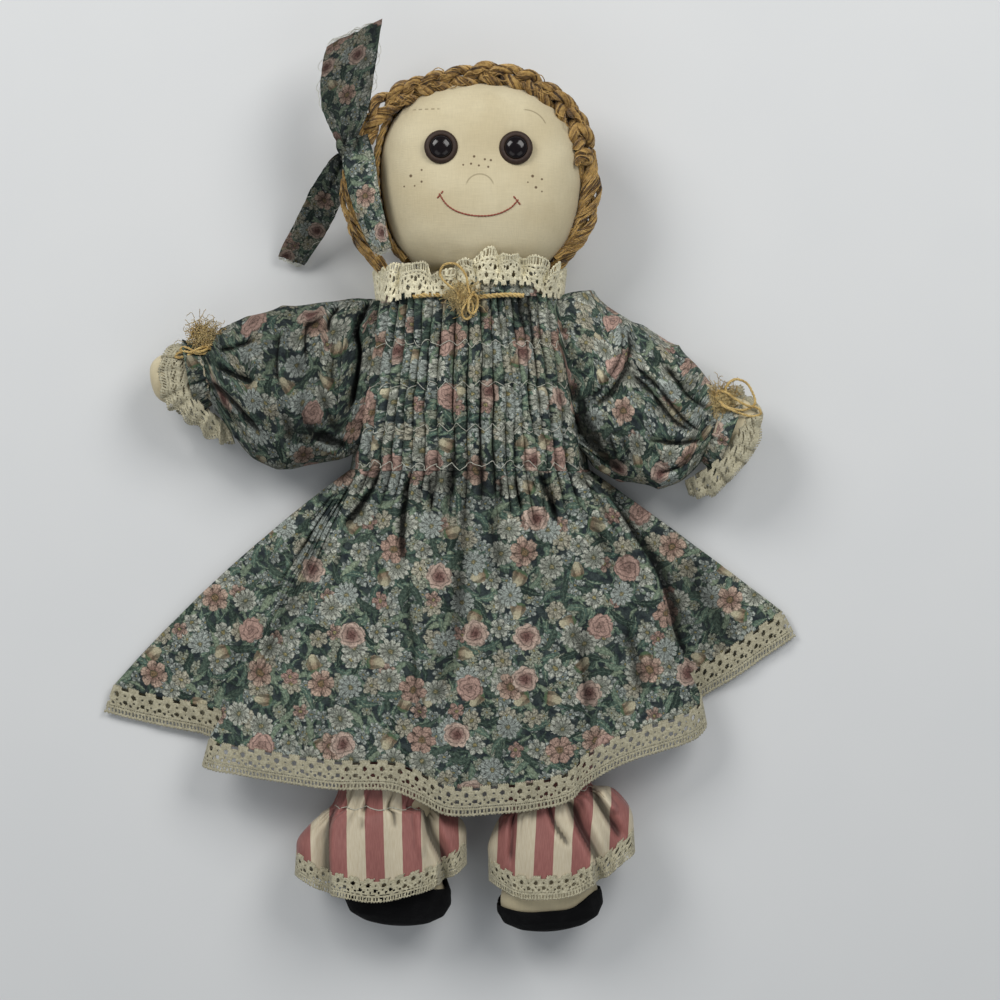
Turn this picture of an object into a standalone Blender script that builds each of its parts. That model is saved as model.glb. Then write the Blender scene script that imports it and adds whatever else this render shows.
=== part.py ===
"""A rag doll lying on its back, built piece by piece at its real size.

Metres, +Z up. +X is the viewer's right, +Y runs towards the head and +Z out of the doll's
front. The origin is the middle of the flat under the back of the dress. Left and right are
the doll's own, so its right arm is at -X.
"""

import math

import bmesh
import bpy
from mathutils import Vector

# Cloth, thread and the clearances between layers
GAP = 0.0003
CLOTH = 0.0010
CALICO = 0.0008
LACE = 0.0008
THREAD_RADIUS = 0.00045
YARN_RADIUS = 0.0009
MERGE_DISTANCE = 0.00001
SLACK_SHARE = 1.3

# Torso: a calico bag, open at the neck, with its filling
TORSO_HALF_WIDTH = 0.0330
TORSO_HALF_THICK = 0.0195
TORSO_TOP = 0.0420
TORSO_BOTTOM = -0.0620
TORSO_RING_SHARES = (
    (0.00, 0.56, 0.52), (0.06, 0.86, 0.80), (0.20, 1.00, 0.96), (0.50, 1.02, 1.00),
    (0.76, 1.06, 0.92), (0.90, 1.00, 0.72), (0.97, 0.84, 0.46), (1.00, 0.00, 0.00),
)

# Neck and head
NECK_HALF_WIDTH = 0.0120
NECK_RADIUS = 0.0057
NECK_PIVOT_Y = 0.04675
HEAD_X = 0.0039
HEAD_BOTTOM = 0.0515
HEAD_LENGTH = 0.0685
HEAD_HALF_WIDTH = 0.0385
HEAD_HALF_THICK = 0.0240
HEAD_RING_SHARES = (
    (0.00, 0.60, 0.50), (0.10, 0.78, 0.76), (0.28, 0.95, 0.95), (0.48, 1.00, 1.00),
    (0.68, 0.97, 0.96), (0.84, 0.84, 0.80), (0.94, 0.60, 0.55), (1.00, 0.00, 0.00),
)

# Face: two domed shank buttons and a stitched mouth
EYE_RADIUS = 0.0069
EYE_HEIGHT = 0.0042
EYE_RIM = 0.0012
EYE_SHANK_RADIUS = 0.0016
EYE_Y = 0.0953
EYE_HALF_SPACING = 0.0143
MOUTH_HALF_WIDTH = 0.0146
MOUTH_Y = 0.0760
MOUTH_SAG = 0.0072

# Hair: yarn over the back of the head, a plait round the brow and a lock down each side
HAIR_THICK = 0.0030
STRAND_RADIUS = 0.0015
PLAIT_HALF_WIDTH = 0.0030
PLAIT_HALF_DEPTH = 0.0027
PLAIT_STANDOFF = 0.0056
PLAIT_HEIGHT = 0.0062
PLAIT_STEPS = 32
PLAIT_CYCLES = 7
LOCK_RADIUS = 0.0034
LOCK_DROP = 0.0335
LOCK_REACH_SHARE = 0.985

# Torn-cloth bow tied on the plait at the doll's right temple
RIBBON = 0.0008
KNOT_HALF_WIDTH = 0.0052
KNOT_HALF_LENGTH = 0.0062
KNOT_HALF_THICK = 0.0040
KNOT_X = -0.0460
KNOT_Y = 0.0980
KNOT_Z = 0.0396
TAIL_BASE_WIDTH = 0.0100
TAIL_TUCK_SHARE = 0.80
UPPER_TAIL_LENGTH = 0.0370
UPPER_TAIL_WIDTH = 0.0220
OUTER_TAIL_LENGTH = 0.0400
OUTER_TAIL_WIDTH = 0.0150
FACE_TAIL_LENGTH = 0.0350
FACE_TAIL_WIDTH = 0.0110

# Arms: a flat sewn tab at the shoulder, then a stuffed arm
SHOULDER_X = 0.0420
SHOULDER_Y = 0.0240
SHOULDER_Z = 0.0180
SHOULDER_TAB_RADIUS = 0.0092
TAB_HALF_THICK = 0.0015
ARM_START = 0.0085
ARM_LENGTH = 0.0755
ARM_HALF_WIDTH = 0.0118
ARM_HALF_THICK = 0.0105
ARM_RING_SHARES = (
    (0.00, 0.52, 0.46), (0.12, 0.90, 0.86), (0.35, 1.00, 1.00), (0.60, 0.90, 0.90),
    (0.76, 0.62, 0.66), (0.88, 0.98, 0.98), (0.96, 0.70, 0.70), (1.00, 0.00, 0.00),
)
RIGHT_ARM_DROP = 12.0
LEFT_ARM_DROP = 27.0

# Puffed sleeves, gathered at the wrist over the hand. The first share is along the sleeve,
# the next two are its upper and lower edges, and the last is its half thickness.
SLEEVE_LENGTH = 0.0660
SLEEVE_DROP = 0.0430
SLEEVE_HALF_THICK = 0.0180
SLEEVE_CLEARANCE = 0.0018
SLEEVE_SPREAD_SHARE = 0.3
SLEEVE_ROOT_TOP = 0.0385
SLEEVE_ROOT_BOTTOM = -0.0225
SLEEVE_SHARES = (
    (0.00, 0.36, -0.92, 0.74), (0.14, 0.40, -0.96, 0.94), (0.36, 0.41, -1.00, 1.00),
    (0.58, 0.40, -0.97, 1.00), (0.76, 0.35, -0.80, 0.92), (0.88, 0.28, -0.48, 0.76),
    (0.93, 0.25, -0.27, 0.56), (1.00, 0.25, -0.27, 0.56),
)
CUFF_LENGTH = 0.0120
CUFF_HALF_WIDTH = 0.0205
CUFF_HALF_THICK = 0.0140

# Bodice: pleated in front, plain behind, with its side seams low on the body
BODICE_TOP = 0.0400
WAIST_Y = -0.0275
NECKLINE_HALF_WIDTH = 0.0360
WAIST_HALF_WIDTH = 0.0470
BODICE_HEIGHT = 0.0440
SEAM_HEIGHT = 0.0120
PLEAT_DEPTH = 0.0012
PLEATS = 15
SQUARENESS_SHARE = 2.8
BODICE_ROW_SHARES = (0.0, 0.085, 0.11, 0.365, 0.39, 0.68, 1.0)
ARMHOLE_ROWS = (2, 3)
ARMHOLE_ANGLE_SHARE = 0.047
TRIM_ANGLE_SHARE = 0.19
COLLAR_LENGTH = 0.0115
ZIGZAG_DEPTH = 0.0018
ZIGZAGS = 9
SHIRRING_ROW_SHARES = (0.27, 0.50, 0.74, 0.94)

# Skirt: a front panel draped over the legs and a back panel flat beneath them. Its hem
# points are shares of its half spread, of its drop below the origin and of its height. The
# rise and swing rows give, down the panel, how far its folds lift it and move it sideways.
SKIRT_HALF_SPREAD = 0.1420
SKIRT_DROP = 0.1520
SKIRT_HEIGHT = 0.0375
SKIRT_FOLD_DEPTH = 0.0060
HEM_FRONT_SHARES = (
    (-1.002, 0.751, 0.09), (-0.908, 0.774, 0.09), (-0.813, 0.792, 0.11), (-0.732, 0.807, 0.14),
    (-0.708, 0.826, 0.23), (-0.716, 0.854, 0.37), (-0.725, 0.881, 0.48), (-0.683, 0.894, 0.59),
    (-0.622, 0.903, 0.68), (-0.485, 0.921, 0.79), (-0.350, 0.934, 0.90), (-0.214, 0.933, 0.98),
    (-0.130, 0.963, 0.97), (-0.050, 0.999, 0.92), (0.073, 0.995, 0.92), (0.180, 0.983, 0.98),
    (0.270, 0.961, 0.98), (0.320, 0.918, 0.90), (0.426, 0.866, 0.79), (0.563, 0.828, 0.62),
    (0.621, 0.807, 0.50), (0.644, 0.774, 0.39), (0.613, 0.739, 0.23), (0.637, 0.708, 0.14),
    (0.718, 0.661, 0.11), (0.799, 0.608, 0.09), (0.880, 0.557, 0.09),
)
SKIRT_WAIST_SHARES = (
    0.000, 0.018, 0.038, 0.058, 0.076, 0.092, 0.108, 0.126, 0.158, 0.235, 0.310, 0.385, 0.435, 0.485,
    0.550, 0.605, 0.655, 0.700, 0.765, 0.845, 0.880, 0.905, 0.925, 0.945, 0.965, 0.982, 1.000,
)
SKIRT_RISE_SHARES = (
    (0.00, 0.00, 0.00, 0.00, 0.00, 0.00, 0.00, 0.00, 0.00, 0.00, 0.00, 0.00, 0.00, 0.00, 0.00,
     0.00, 0.00, 0.00, 0.00, 0.00, 0.00, 0.00, 0.00, 0.00, 0.00, 0.00, 0.00, 0.00),
    (0.14, 0.00, -0.08, -0.19, -0.38, -0.35, -0.08, 0.21, 0.22, -0.04, -0.15, -0.18, 0.22, 0.20,
     0.11, 0.21, 0.17, 0.20, -0.13, 0.14, 0.11, 0.17, 0.15, -0.08, -0.18, -0.21, -0.08, 0.00),
    (0.32, 0.00, -0.07, -0.14, -0.54, -0.21, 0.06, 0.34, 0.41, 0.29, 0.34, 0.26, 0.55, 0.49, 0.37,
     0.42, 0.38, 0.31, 0.35, 0.51, 0.56, 0.32, 0.32, -0.03, -0.36, -0.31, -0.11, 0.00),
    (0.54, 0.00, -0.08, -0.03, -0.02, 0.15, 0.12, 0.29, 0.16, 0.46, 0.82, 0.67, 0.42, 0.65, 0.75,
     0.43, 0.48, 0.75, 0.20, 0.32, 0.64, 0.53, 0.38, 0.01, -0.33, -0.29, -0.03, 0.00),
    (0.78, 0.00, -0.05, -0.05, -0.01, 0.11, 0.10, 0.13, 0.02, 0.23, 0.64, 0.49, 0.26, 0.73, 0.79,
     0.38, 0.40, 0.67, -0.03, 0.12, 0.56, 0.45, 0.36, 0.01, -0.19, -0.18, -0.01, 0.00),
    (1.00, 0.00, 0.00, 0.00, 0.00, 0.00, 0.00, 0.00, 0.00, 0.00, 0.00, 0.00, 0.00, 0.00, 0.00,
     0.00, 0.00, 0.00, 0.00, 0.00, 0.00, 0.00, 0.00, 0.00, 0.00, 0.00, 0.00, 0.00),
)
SKIRT_SWING_SHARES = (
    (0.00, 0.00, 0.00, 0.00, 0.00, 0.00, 0.00, 0.00, 0.00, 0.00, 0.00, 0.00, 0.00, 0.00, 0.00,
     0.00, 0.00, 0.00, 0.00, 0.00, 0.00, 0.00, 0.00, 0.00, 0.00, 0.00, 0.00, 0.00),
    (0.14, 0.00, -0.08, -0.05, 0.01, 0.02, 0.11, 0.28, 0.18, 0.08, 0.08, 0.06, 0.04, 0.02, 0.00,
     -0.01, -0.02, -0.02, -0.05, -0.05, 0.07, 0.46, 0.68, 0.05, -0.07, -0.01, 0.02, 0.00),
    (0.32, 0.00, -0.16, -0.18, -0.12, -0.13, 0.07, 0.36, 0.27, 0.00, 0.00, 0.01, 0.02, 0.00, -0.01,
     0.00, 0.01, 0.01, -0.03, -0.02, 0.12, 0.56, 0.77, 0.11, -0.01, 0.06, 0.06, 0.00),
    (0.54, 0.00, -0.18, -0.20, -0.17, -0.22, 0.11, 0.60, 0.44, 0.00, -0.01, 0.01, 0.04, 0.01,
     -0.02, 0.00, 0.02, 0.02, -0.04, -0.02, 0.13, 0.48, 0.65, 0.07, -0.02, 0.07, 0.07, 0.00),
    (0.78, 0.00, -0.13, -0.13, -0.10, -0.12, 0.08, 0.39, 0.28, -0.04, -0.02, 0.01, 0.05, 0.01,
     -0.03, 0.01, 0.03, 0.03, -0.05, -0.03, 0.09, 0.16, 0.18, -0.03, -0.05, 0.04, 0.06, 0.00),
    (1.00, 0.00, 0.00, 0.00, 0.00, 0.00, 0.00, 0.00, 0.00, 0.00, 0.00, 0.00, 0.00, 0.00, 0.00,
     0.00, 0.00, 0.00, 0.00, 0.00, 0.00, 0.00, 0.00, 0.00, 0.00, 0.00, 0.00, 0.00),
)
HEM_BACK_SHARES = (
    (-1.00, 0.745), (-0.72, 0.80), (-0.40, 0.85), (0.00, 0.88), (0.35, 0.82),
    (0.62, 0.70), (0.88, 0.552),
)
HEM_LACE_WIDTH = 0.0130
HEM_LACE_FLARE_SHARE = 0.35

# Legs: a flat sewn tab at the hip, then a stuffed leg with a slipper over its foot
HIP_X = 0.0210
HIP_TUCK = 0.0020
LEG_Z = 0.0166
LEG_START = 0.0060
LEG_LENGTH = 0.1375
LEG_HALF_WIDTH = 0.0205
LEG_HALF_THICK = 0.0139
HIP_TAB_RADIUS = 0.0071
LEG_RING_SHARES = (
    (0.00, 0.36, 0.42), (0.08, 0.62, 0.82), (0.30, 0.70, 0.92), (0.60, 0.58, 0.82),
    (0.78, 0.60, 0.78), (0.87, 0.84, 0.88), (0.93, 1.00, 1.00), (0.975, 0.78, 0.80),
    (1.00, 0.00, 0.00),
)
SHOE_START_SHARE = 0.89
LEG_SPREAD = 4.6

# Bloomers: a seat round the hips and a gathered leg on each side
SEAT_STOP_SHARES = (0.72, 0.76, 0.90, 0.95)
BLOOMER_HALF_WIDTH = 0.0195
BLOOMER_HALF_THICK = 0.0152
SHOE_SHOW = 0.0215
BLOOMER_RING_SHARES = (
    (0.045, 0.80, 0.86), (0.18, 1.00, 1.00), (0.45, 1.00, 1.00), (0.70, 0.97, 0.98),
    (0.80, 0.72, 0.90), (0.88, 1.16, 0.97), (0.94, 1.38, 1.02), (1.00, 1.48, 1.05),
)
BLOOMER_GATHER_SHARE = 0.80
BLOOMER_LACE_WIDTH = 0.0080

TORSO_Z = CLOTH + GAP + TORSO_HALF_THICK
HEAD_Z = HAIR_THICK + 2 * GAP + HEAD_HALF_THICK
BLOOMER_LENGTH = LEG_START + LEG_LENGTH - SHOE_SHOW
HIP_Y = TORSO_BOTTOM + HIP_TUCK - HIP_TAB_RADIUS
UP = Vector((0, 0, 1))
SIDES = (("right", -1, RIGHT_ARM_DROP), ("left", 1, LEFT_ARM_DROP))

# Finishes: colour, roughness and metallic value
FINISHES = {
    "calico": ((0.78, 0.71, 0.55), 0.90, 0.0),
    "filling": ((0.92, 0.91, 0.88), 0.95, 0.0),
    "floral_cotton": ((0.22, 0.28, 0.27), 0.85, 0.0),
    "striped_cotton": ((0.62, 0.36, 0.35), 0.80, 0.0),
    "cotton_lace": ((0.76, 0.70, 0.58), 0.92, 0.0),
    "hair_yarn": ((0.42, 0.25, 0.08), 0.88, 0.0),
    "gold_yarn": ((0.56, 0.36, 0.10), 0.85, 0.0),
    "pale_thread": ((0.78, 0.78, 0.72), 0.80, 0.0),
    "mouth_thread": ((0.38, 0.08, 0.05), 0.80, 0.0),
    "eye_plastic": ((0.03, 0.012, 0.008), 0.12, 0.0),
    "black_felt": ((0.012, 0.012, 0.013), 0.90, 0.0),
}


def clear_scene():
    for obj in list(bpy.data.objects):
        bpy.data.objects.remove(obj)


def make_collection(name):
    collection = bpy.data.collections.new(name)
    bpy.context.scene.collection.children.link(collection)
    return collection


def make_material(name):
    colour, roughness, metallic = FINISHES[name]
    material = bpy.data.materials.new(name)
    material.use_nodes = True
    shader = material.node_tree.nodes["Principled BSDF"]
    shader.inputs["Base Color"].default_value = (*colour, 1)
    shader.inputs["Roughness"].default_value = roughness
    shader.inputs["Metallic"].default_value = metallic
    return material


clear_scene()
DOLL = make_collection("rag_doll")
MATERIALS = {name: make_material(name) for name in FINISHES}


def add_object(name, data, finish):
    obj = bpy.data.objects.new(name, data)
    DOLL.objects.link(obj)
    data.materials.append(MATERIALS[finish])
    return obj


def surface(name, finish, columns, rows, place, middle, wall=0.0, grow=0.0):
    """A grid bent by place(across, along), both from 0 to 1, facing away from middle.

    It grows along its normals. With a wall it is cloth of that thickness, which lies inside
    the surface. Without one it has to close on itself.
    """
    mesh = bpy.data.meshes.new(name)
    cage = bmesh.new()
    bmesh.ops.create_grid(cage, x_segments=columns, y_segments=rows, size=1)
    for vertex in cage.verts:
        vertex.co = place((vertex.co.x + 1) / 2, (vertex.co.y + 1) / 2)
    bmesh.ops.remove_doubles(cage, verts=cage.verts, dist=MERGE_DISTANCE)
    cage.normal_update()
    outward = sum(
        face.normal.dot(face.calc_center_median() - middle) * face.calc_area()
        for face in cage.faces
    )
    if outward < 0:
        bmesh.ops.reverse_faces(cage, faces=cage.faces)
    cage.to_mesh(mesh)
    cage.free()
    mesh.shade_smooth()
    obj = add_object(name, mesh, finish)
    if grow:
        modifier = obj.modifiers.new("grow", "DISPLACE")
        modifier.strength = grow
        modifier.mid_level = 0
    if wall:
        modifier = obj.modifiers.new("wall", "SOLIDIFY")
        modifier.thickness = wall
        modifier.offset = -1
        modifier.use_even_offset = True
    return obj


def line(name, finish, points, radius, closed=False, sides=2):
    """A round cord or thread through the points."""
    curve = bpy.data.curves.new(name, "CURVE")
    curve.dimensions = "3D"
    curve.bevel_depth = radius
    curve.bevel_resolution = sides
    curve.use_fill_caps = not closed
    spline = curve.splines.new("POLY")
    spline.points.add(len(points) - 1)
    for target, point in zip(spline.points, points, strict=True):
        target.co = (*point, 1)
    spline.use_cyclic_u = closed
    return add_object(name, curve, finish)


def table_at(table, share):
    """The row of a table, whose first column rises, at that share, eased between rows."""
    last = table[0]
    for row in table:
        if row[0] >= share:
            span = row[0] - last[0]
            part = (share - last[0]) / span if span else 0
            return [a + (b - a) * part for a, b in zip(last, row, strict=True)][1:]
        last = row
    return list(last[1:])


def list_at(rows, share):
    """The point of a list of evenly counted rows at that share of the list."""
    place = min(max(share, 0), 1) * (len(rows) - 1)
    low = min(int(place), len(rows) - 2)
    part = place - low
    return [a + (b - a) * part for a, b in zip(rows[low], rows[low + 1], strict=True)]


def squared(angle, power):
    """A point on a unit superellipse."""
    cosine, sine = math.cos(angle), math.sin(angle)
    return (
        math.copysign(abs(cosine) ** (2 / power), cosine),
        math.copysign(abs(sine) ** (2 / power), sine),
    )


class Stuffed:
    """A stuffed bag: rings along a direction, wide across and thick towards +Z."""

    POWER = 2.3

    def __init__(self, start, direction, length, half_width, half_thick, rings):
        self.start = Vector(start)
        self.direction = Vector(direction).normalized()
        self.side = self.direction.cross(UP)
        self.length = length
        self.half_width = half_width
        self.half_thick = half_thick
        self.rings = rings
        self.middle = self.start + self.direction * (length / 2)

    def point(self, share, angle, grow=0.0):
        width, thick = table_at(self.rings, share)
        across, upward = squared(angle, self.POWER)
        width = self.half_width * width + grow if width else 0
        thick = self.half_thick * thick + grow if thick else 0
        centre = self.start + self.direction * (self.length * share)
        return centre + self.side * (width * across) + UP * (thick * upward)

    def ring_place(self, stops, closed_start):
        def place(across, along):
            row = round(along * (len(stops) - 1))
            if closed_start and row == 0:
                return self.start + self.direction * (self.length * stops[0])
            return self.point(stops[row], across * math.tau)

        return place

    def make(self, name, finish, segments, wall=0.0, grow=0.0, first=0.0):
        """The bag's skin, open at its first ring, or with no wall the solid that fills it."""
        stops = [first] + [row[0] for row in self.rings if row[0] > first]
        if not wall:
            stops = [first, *stops]
        place = self.ring_place(stops, not wall)
        return surface(name, finish, segments, len(stops) - 1, place, self.middle, wall, grow)

    def make_pair(self, part, segments):
        """Its calico skin and the filling inside."""
        inset = -(CALICO + GAP) * SLACK_SHARE
        skin = self.make(f"{part}_skin" + self.tag, "calico", segments, wall=CALICO)
        filling = self.make(f"{part}_filling" + self.tag, "filling", segments, grow=inset)
        return skin, filling

    tag = ""


def bodice_half_width(y):
    part = (BODICE_TOP - y) / (BODICE_TOP - WAIST_Y)
    return NECKLINE_HALF_WIDTH + (WAIST_HALF_WIDTH - NECKLINE_HALF_WIDTH) * min(max(part, 0), 1.2)


def dress_section(angle, y, grow=0.0):
    """A point on the dress round the torso. Angle 0 is the +X seam and a quarter turn the front."""
    across, upward = squared(angle, SQUARENESS_SHARE)
    x = (bodice_half_width(y) + grow) * across
    if upward >= 0:
        z = SEAM_HEIGHT + (BODICE_HEIGHT - SEAM_HEIGHT + grow) * upward
    else:
        z = max(SEAM_HEIGHT * (1 + upward * 1.06), 0)
    return Vector((x, y, z))


def beside_dress(y, z):
    """Half the dress's width at that place along it and that height."""
    if z >= SEAM_HEIGHT:
        rise = (z - SEAM_HEIGHT) / (BODICE_HEIGHT - SEAM_HEIGHT)
    else:
        rise = (SEAM_HEIGHT - z) / (SEAM_HEIGHT * 1.06)
    side = max(1 - min(rise, 1) ** SQUARENESS_SHARE, 0) ** (1 / SQUARENESS_SHARE)
    return bodice_half_width(y) * side


def even_angles(first, last, count):
    """Angles that divide the dress section between two angles into even lengths of cloth."""
    steps = 240
    angles = [first + (last - first) * i / steps for i in range(steps + 1)]
    points = [dress_section(a, BODICE_TOP) for a in angles]
    walked = [0.0]
    for a, b in zip(points, points[1:], strict=False):
        walked.append(walked[-1] + (b - a).length)
    found, place = [], 0
    for i in range(count + 1):
        target = walked[-1] * i / count
        while place < steps - 1 and walked[place + 1] < target:
            place += 1
        span = walked[place + 1] - walked[place]
        found.append(angles[place] + (angles[1] - angles[0]) * (target - walked[place]) / span)
    return found


def make_torso():
    torso = Stuffed(
        (0, TORSO_TOP, TORSO_Z), (0, -1, 0), TORSO_TOP - TORSO_BOTTOM,
        TORSO_HALF_WIDTH, TORSO_HALF_THICK, TORSO_RING_SHARES,
    )
    torso.make_pair("torso", 14)
    return torso


def make_head():
    head = Stuffed(
        (HEAD_X, HEAD_BOTTOM, HEAD_Z), (0, 1, 0), HEAD_LENGTH,
        HEAD_HALF_WIDTH, HEAD_HALF_THICK, HEAD_RING_SHARES,
    )
    head.make_pair("head", 16)
    return head


def make_neck():
    """A spindle of filling between the two bags, turned about the axis the head nods on."""
    centre = Vector((HEAD_X / 2, NECK_PIVOT_Y, (TORSO_Z + HEAD_Z) / 2))

    def place(across, along):
        turn, rise = math.tau * across, math.pi * along
        ring = NECK_RADIUS * math.sin(rise)
        flat = -NECK_HALF_WIDTH * math.cos(rise)
        return centre + Vector((flat, ring * math.cos(turn), ring * math.sin(turn)))

    surface("neck", "calico", 14, 8, place, centre)


def front_of(stuffed, x, y):
    """The height of a stuffed piece's front surface over a place on it."""
    share = (Vector((x, y, 0)) - stuffed.start).dot(stuffed.direction) / stuffed.length
    width, thick = table_at(stuffed.rings, share)
    across = abs(x - stuffed.start.x) / (stuffed.half_width * width)
    rise = max(1 - across**stuffed.POWER, 0) ** (1 / stuffed.POWER)
    return stuffed.start.z + stuffed.half_thick * thick * rise


def make_eye(name, head, x):
    """A domed button: a turned profile from the dome's top down to the end of its shank."""
    base = front_of(head, x, EYE_Y)
    shank = EYE_HEIGHT / 2
    profile = [
        (EYE_RADIUS * math.sin(a), EYE_RIM + (EYE_HEIGHT - EYE_RIM) * math.cos(a))
        for a in (math.pi / 2 * i / 4 for i in range(5))
    ]
    profile += [(EYE_RADIUS, EYE_RIM / 2), (EYE_RADIUS - EYE_RIM / 2, 0)]
    profile += [(EYE_SHANK_RADIUS, 0), (EYE_SHANK_RADIUS, -shank), (0, -shank)]
    mesh = bpy.data.meshes.new(name)
    mesh.from_pydata([(r, 0, z) for r, z in profile], [(i, i + 1) for i in range(len(profile) - 1)], [])
    obj = add_object(name, mesh, "eye_plastic")
    screw = obj.modifiers.new("turn", "SCREW")
    screw.steps = screw.render_steps = 18
    screw.use_merge_vertices = True
    screw.merge_threshold = MERGE_DISTANCE
    obj.location = (x, EYE_Y, base + shank + GAP)
    return obj


def make_face(head):
    make_eye("eye_right", head, HEAD_X - EYE_HALF_SPACING)
    make_eye("eye_left", head, HEAD_X + EYE_HALF_SPACING)
    points = []
    steps = 12
    for i in range(steps + 1):
        across = 2 * i / steps - 1
        x = HEAD_X + MOUTH_HALF_WIDTH * across
        y = MOUTH_Y - MOUTH_SAG * (1 - across * across) ** 0.8
        points.append((x, y, front_of(head, x, y) + THREAD_RADIUS + GAP))
    line("mouth_thread", "mouth_thread", points, THREAD_RADIUS)


def rim_path(head, share, outward, lift):
    """A place round the rim of the head: share 0 is at the right temple and 1 at the left."""
    angle = math.radians(168) - math.radians(156) * share
    centre_y = HEAD_BOTTOM + HEAD_LENGTH * 0.48
    reach_y = HEAD_LENGTH * 0.52
    across, upward = squared(angle, 2.25)
    flat = Vector((HEAD_HALF_WIDTH * across, reach_y * upward, 0))
    normal = Vector((math.cos(angle), math.sin(angle), 0))
    return (
        Vector((HEAD_X, centre_y, HEAD_Z + lift)) + flat + normal * outward,
        normal,
    )


def make_hair(head):
    stops = [row[0] for row in HEAD_RING_SHARES][1:-1]

    def back_place(across, along):
        share = stops[round(along * (len(stops) - 1))]
        return head.point(share, math.pi + math.pi * across)

    surface(
        "hair_back", "hair_yarn", 8, len(stops) - 1, back_place, head.middle,
        HAIR_THICK, HAIR_THICK + 2 * GAP,
    )
    steps = PLAIT_STEPS
    for strand in range(3):
        points = []
        for i in range(steps + 1):
            phase = math.tau * (PLAIT_CYCLES / 2 * i / steps + strand / 3)
            outward = PLAIT_STANDOFF + PLAIT_HALF_WIDTH * math.sin(phase)
            lift = PLAIT_HEIGHT + PLAIT_HALF_DEPTH * math.sin(2 * phase)
            points.append(rim_path(head, i / steps, outward, lift)[0])
        line(f"plait_strand_{strand + 1}", "hair_yarn", points, STRAND_RADIUS, sides=1)

    for side, sign, _ in SIDES:
        start = rim_path(head, 0.5 + 0.55 * sign, LOCK_RADIUS + GAP, 0)[0]
        points = []
        steps_down = 7
        for i in range(steps_down + 1):
            part = i / steps_down
            y = start.y - LOCK_DROP * part
            share = min(max((y - HEAD_BOTTOM) / HEAD_LENGTH, 0.0), 1.0)
            width = table_at(HEAD_RING_SHARES, share)[0] * HEAD_HALF_WIDTH
            reach = width * LOCK_REACH_SHARE + (LOCK_RADIUS + GAP) * (1 + part / 4)
            points.append((HEAD_X + sign * reach, y, HEAD_Z + LOCK_RADIUS + LACE))
        line(f"hair_lock_{side}", "hair_yarn", points, LOCK_RADIUS)


def make_tail(name, start, heading, length, base_width, end_width, end_z, slant):
    """One torn strip end, from the knot to a slanted cut, drooping to end_z."""
    direction = Vector((math.cos(heading), math.sin(heading), 0))
    side = Vector((-direction.y, direction.x, 0))

    def place(across, along):
        width = base_width + (end_width - base_width) * along
        reach = length * along * (1 + slant * (across - 0.5))
        curl = RIBBON * math.sin(math.pi * along * 2 + across * 2)
        point = start + direction * reach + side * (width * (across - 0.5))
        point.z = start.z + (end_z - start.z) * along**1.3 + curl
        return point

    below = start - UP * length
    return surface(name, "floral_cotton", 2, 6, place, below, RIBBON)


def make_ribbon():
    knot = Stuffed(
        (KNOT_X, KNOT_Y - KNOT_HALF_LENGTH, KNOT_Z), (0, 1, 0), 2 * KNOT_HALF_LENGTH,
        KNOT_HALF_WIDTH, KNOT_HALF_THICK,
        ((0.0, 0.0, 0.0), (0.14, 0.7, 0.7), (0.5, 1.0, 1.0), (0.86, 0.7, 0.7), (1.0, 0.0, 0.0)),
    )
    knot.make("ribbon_knot", "floral_cotton", 8)
    clear = KNOT_HALF_LENGTH + GAP
    top = Vector((KNOT_X, KNOT_Y + clear, KNOT_Z))
    make_tail(
        "ribbon_tail_upper", top, math.radians(88), UPPER_TAIL_LENGTH,
        TAIL_BASE_WIDTH, UPPER_TAIL_WIDTH, KNOT_Z - KNOT_HALF_WIDTH, -0.3,
    )
    side = KNOT_X - KNOT_HALF_WIDTH * TAIL_TUCK_SHARE
    out = Vector((side, KNOT_Y - KNOT_HALF_LENGTH / 2, KNOT_Z - KNOT_HALF_THICK))
    make_tail(
        "ribbon_tail_outer", out, math.radians(242), OUTER_TAIL_LENGTH,
        TAIL_BASE_WIDTH, OUTER_TAIL_WIDTH, OUTER_TAIL_WIDTH / 3, 0.3,
    )
    down = Vector((KNOT_X + KNOT_HALF_WIDTH / 6, KNOT_Y - clear, KNOT_Z))
    make_tail(
        "ribbon_tail_face", down, math.radians(286), FACE_TAIL_LENGTH,
        TAIL_BASE_WIDTH, FACE_TAIL_WIDTH, KNOT_Z - KNOT_HALF_THICK / 2, 0.2,
    )


def make_bodice():
    middle = Vector((0, (BODICE_TOP + WAIST_Y) / 2, TORSO_Z))
    columns = PLEATS * 3
    back_columns = 14
    whole = even_angles(math.pi, 0, columns)
    inset = math.pi * ARMHOLE_ANGLE_SHARE
    armhole = even_angles(math.pi - inset, inset, columns)
    back_angles = even_angles(math.pi, math.tau, back_columns)
    seam = CLOTH / 2

    def front_place(across, along):
        column = round(across * columns)
        row = round(along * (len(BODICE_ROW_SHARES) - 1))
        angles = armhole if row in ARMHOLE_ROWS else whole
        y = BODICE_TOP + (WAIST_Y - BODICE_TOP) * BODICE_ROW_SHARES[row]
        point = dress_section(angles[column], y)
        edge = min(column, columns - column, 3) / 3
        valley = PLEAT_DEPTH * edge * (0, 0.55, 1)[column % 3]
        inward = (middle - point).normalized()
        return point + Vector((inward.x, 0, inward.z)) * valley + UP * seam

    def back_place(across, along):
        angle = back_angles[round(across * back_columns)]
        point = dress_section(angle, BODICE_TOP + (WAIST_Y - BODICE_TOP) * along)
        return point - UP * seam * min(point.z / SEAM_HEIGHT, 1)

    rows = len(BODICE_ROW_SHARES) - 1
    surface("bodice_front", "floral_cotton", columns, rows, front_place, middle, CLOTH)
    surface("bodice_back", "floral_cotton", back_columns, 3, back_place, middle, CLOTH)


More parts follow.
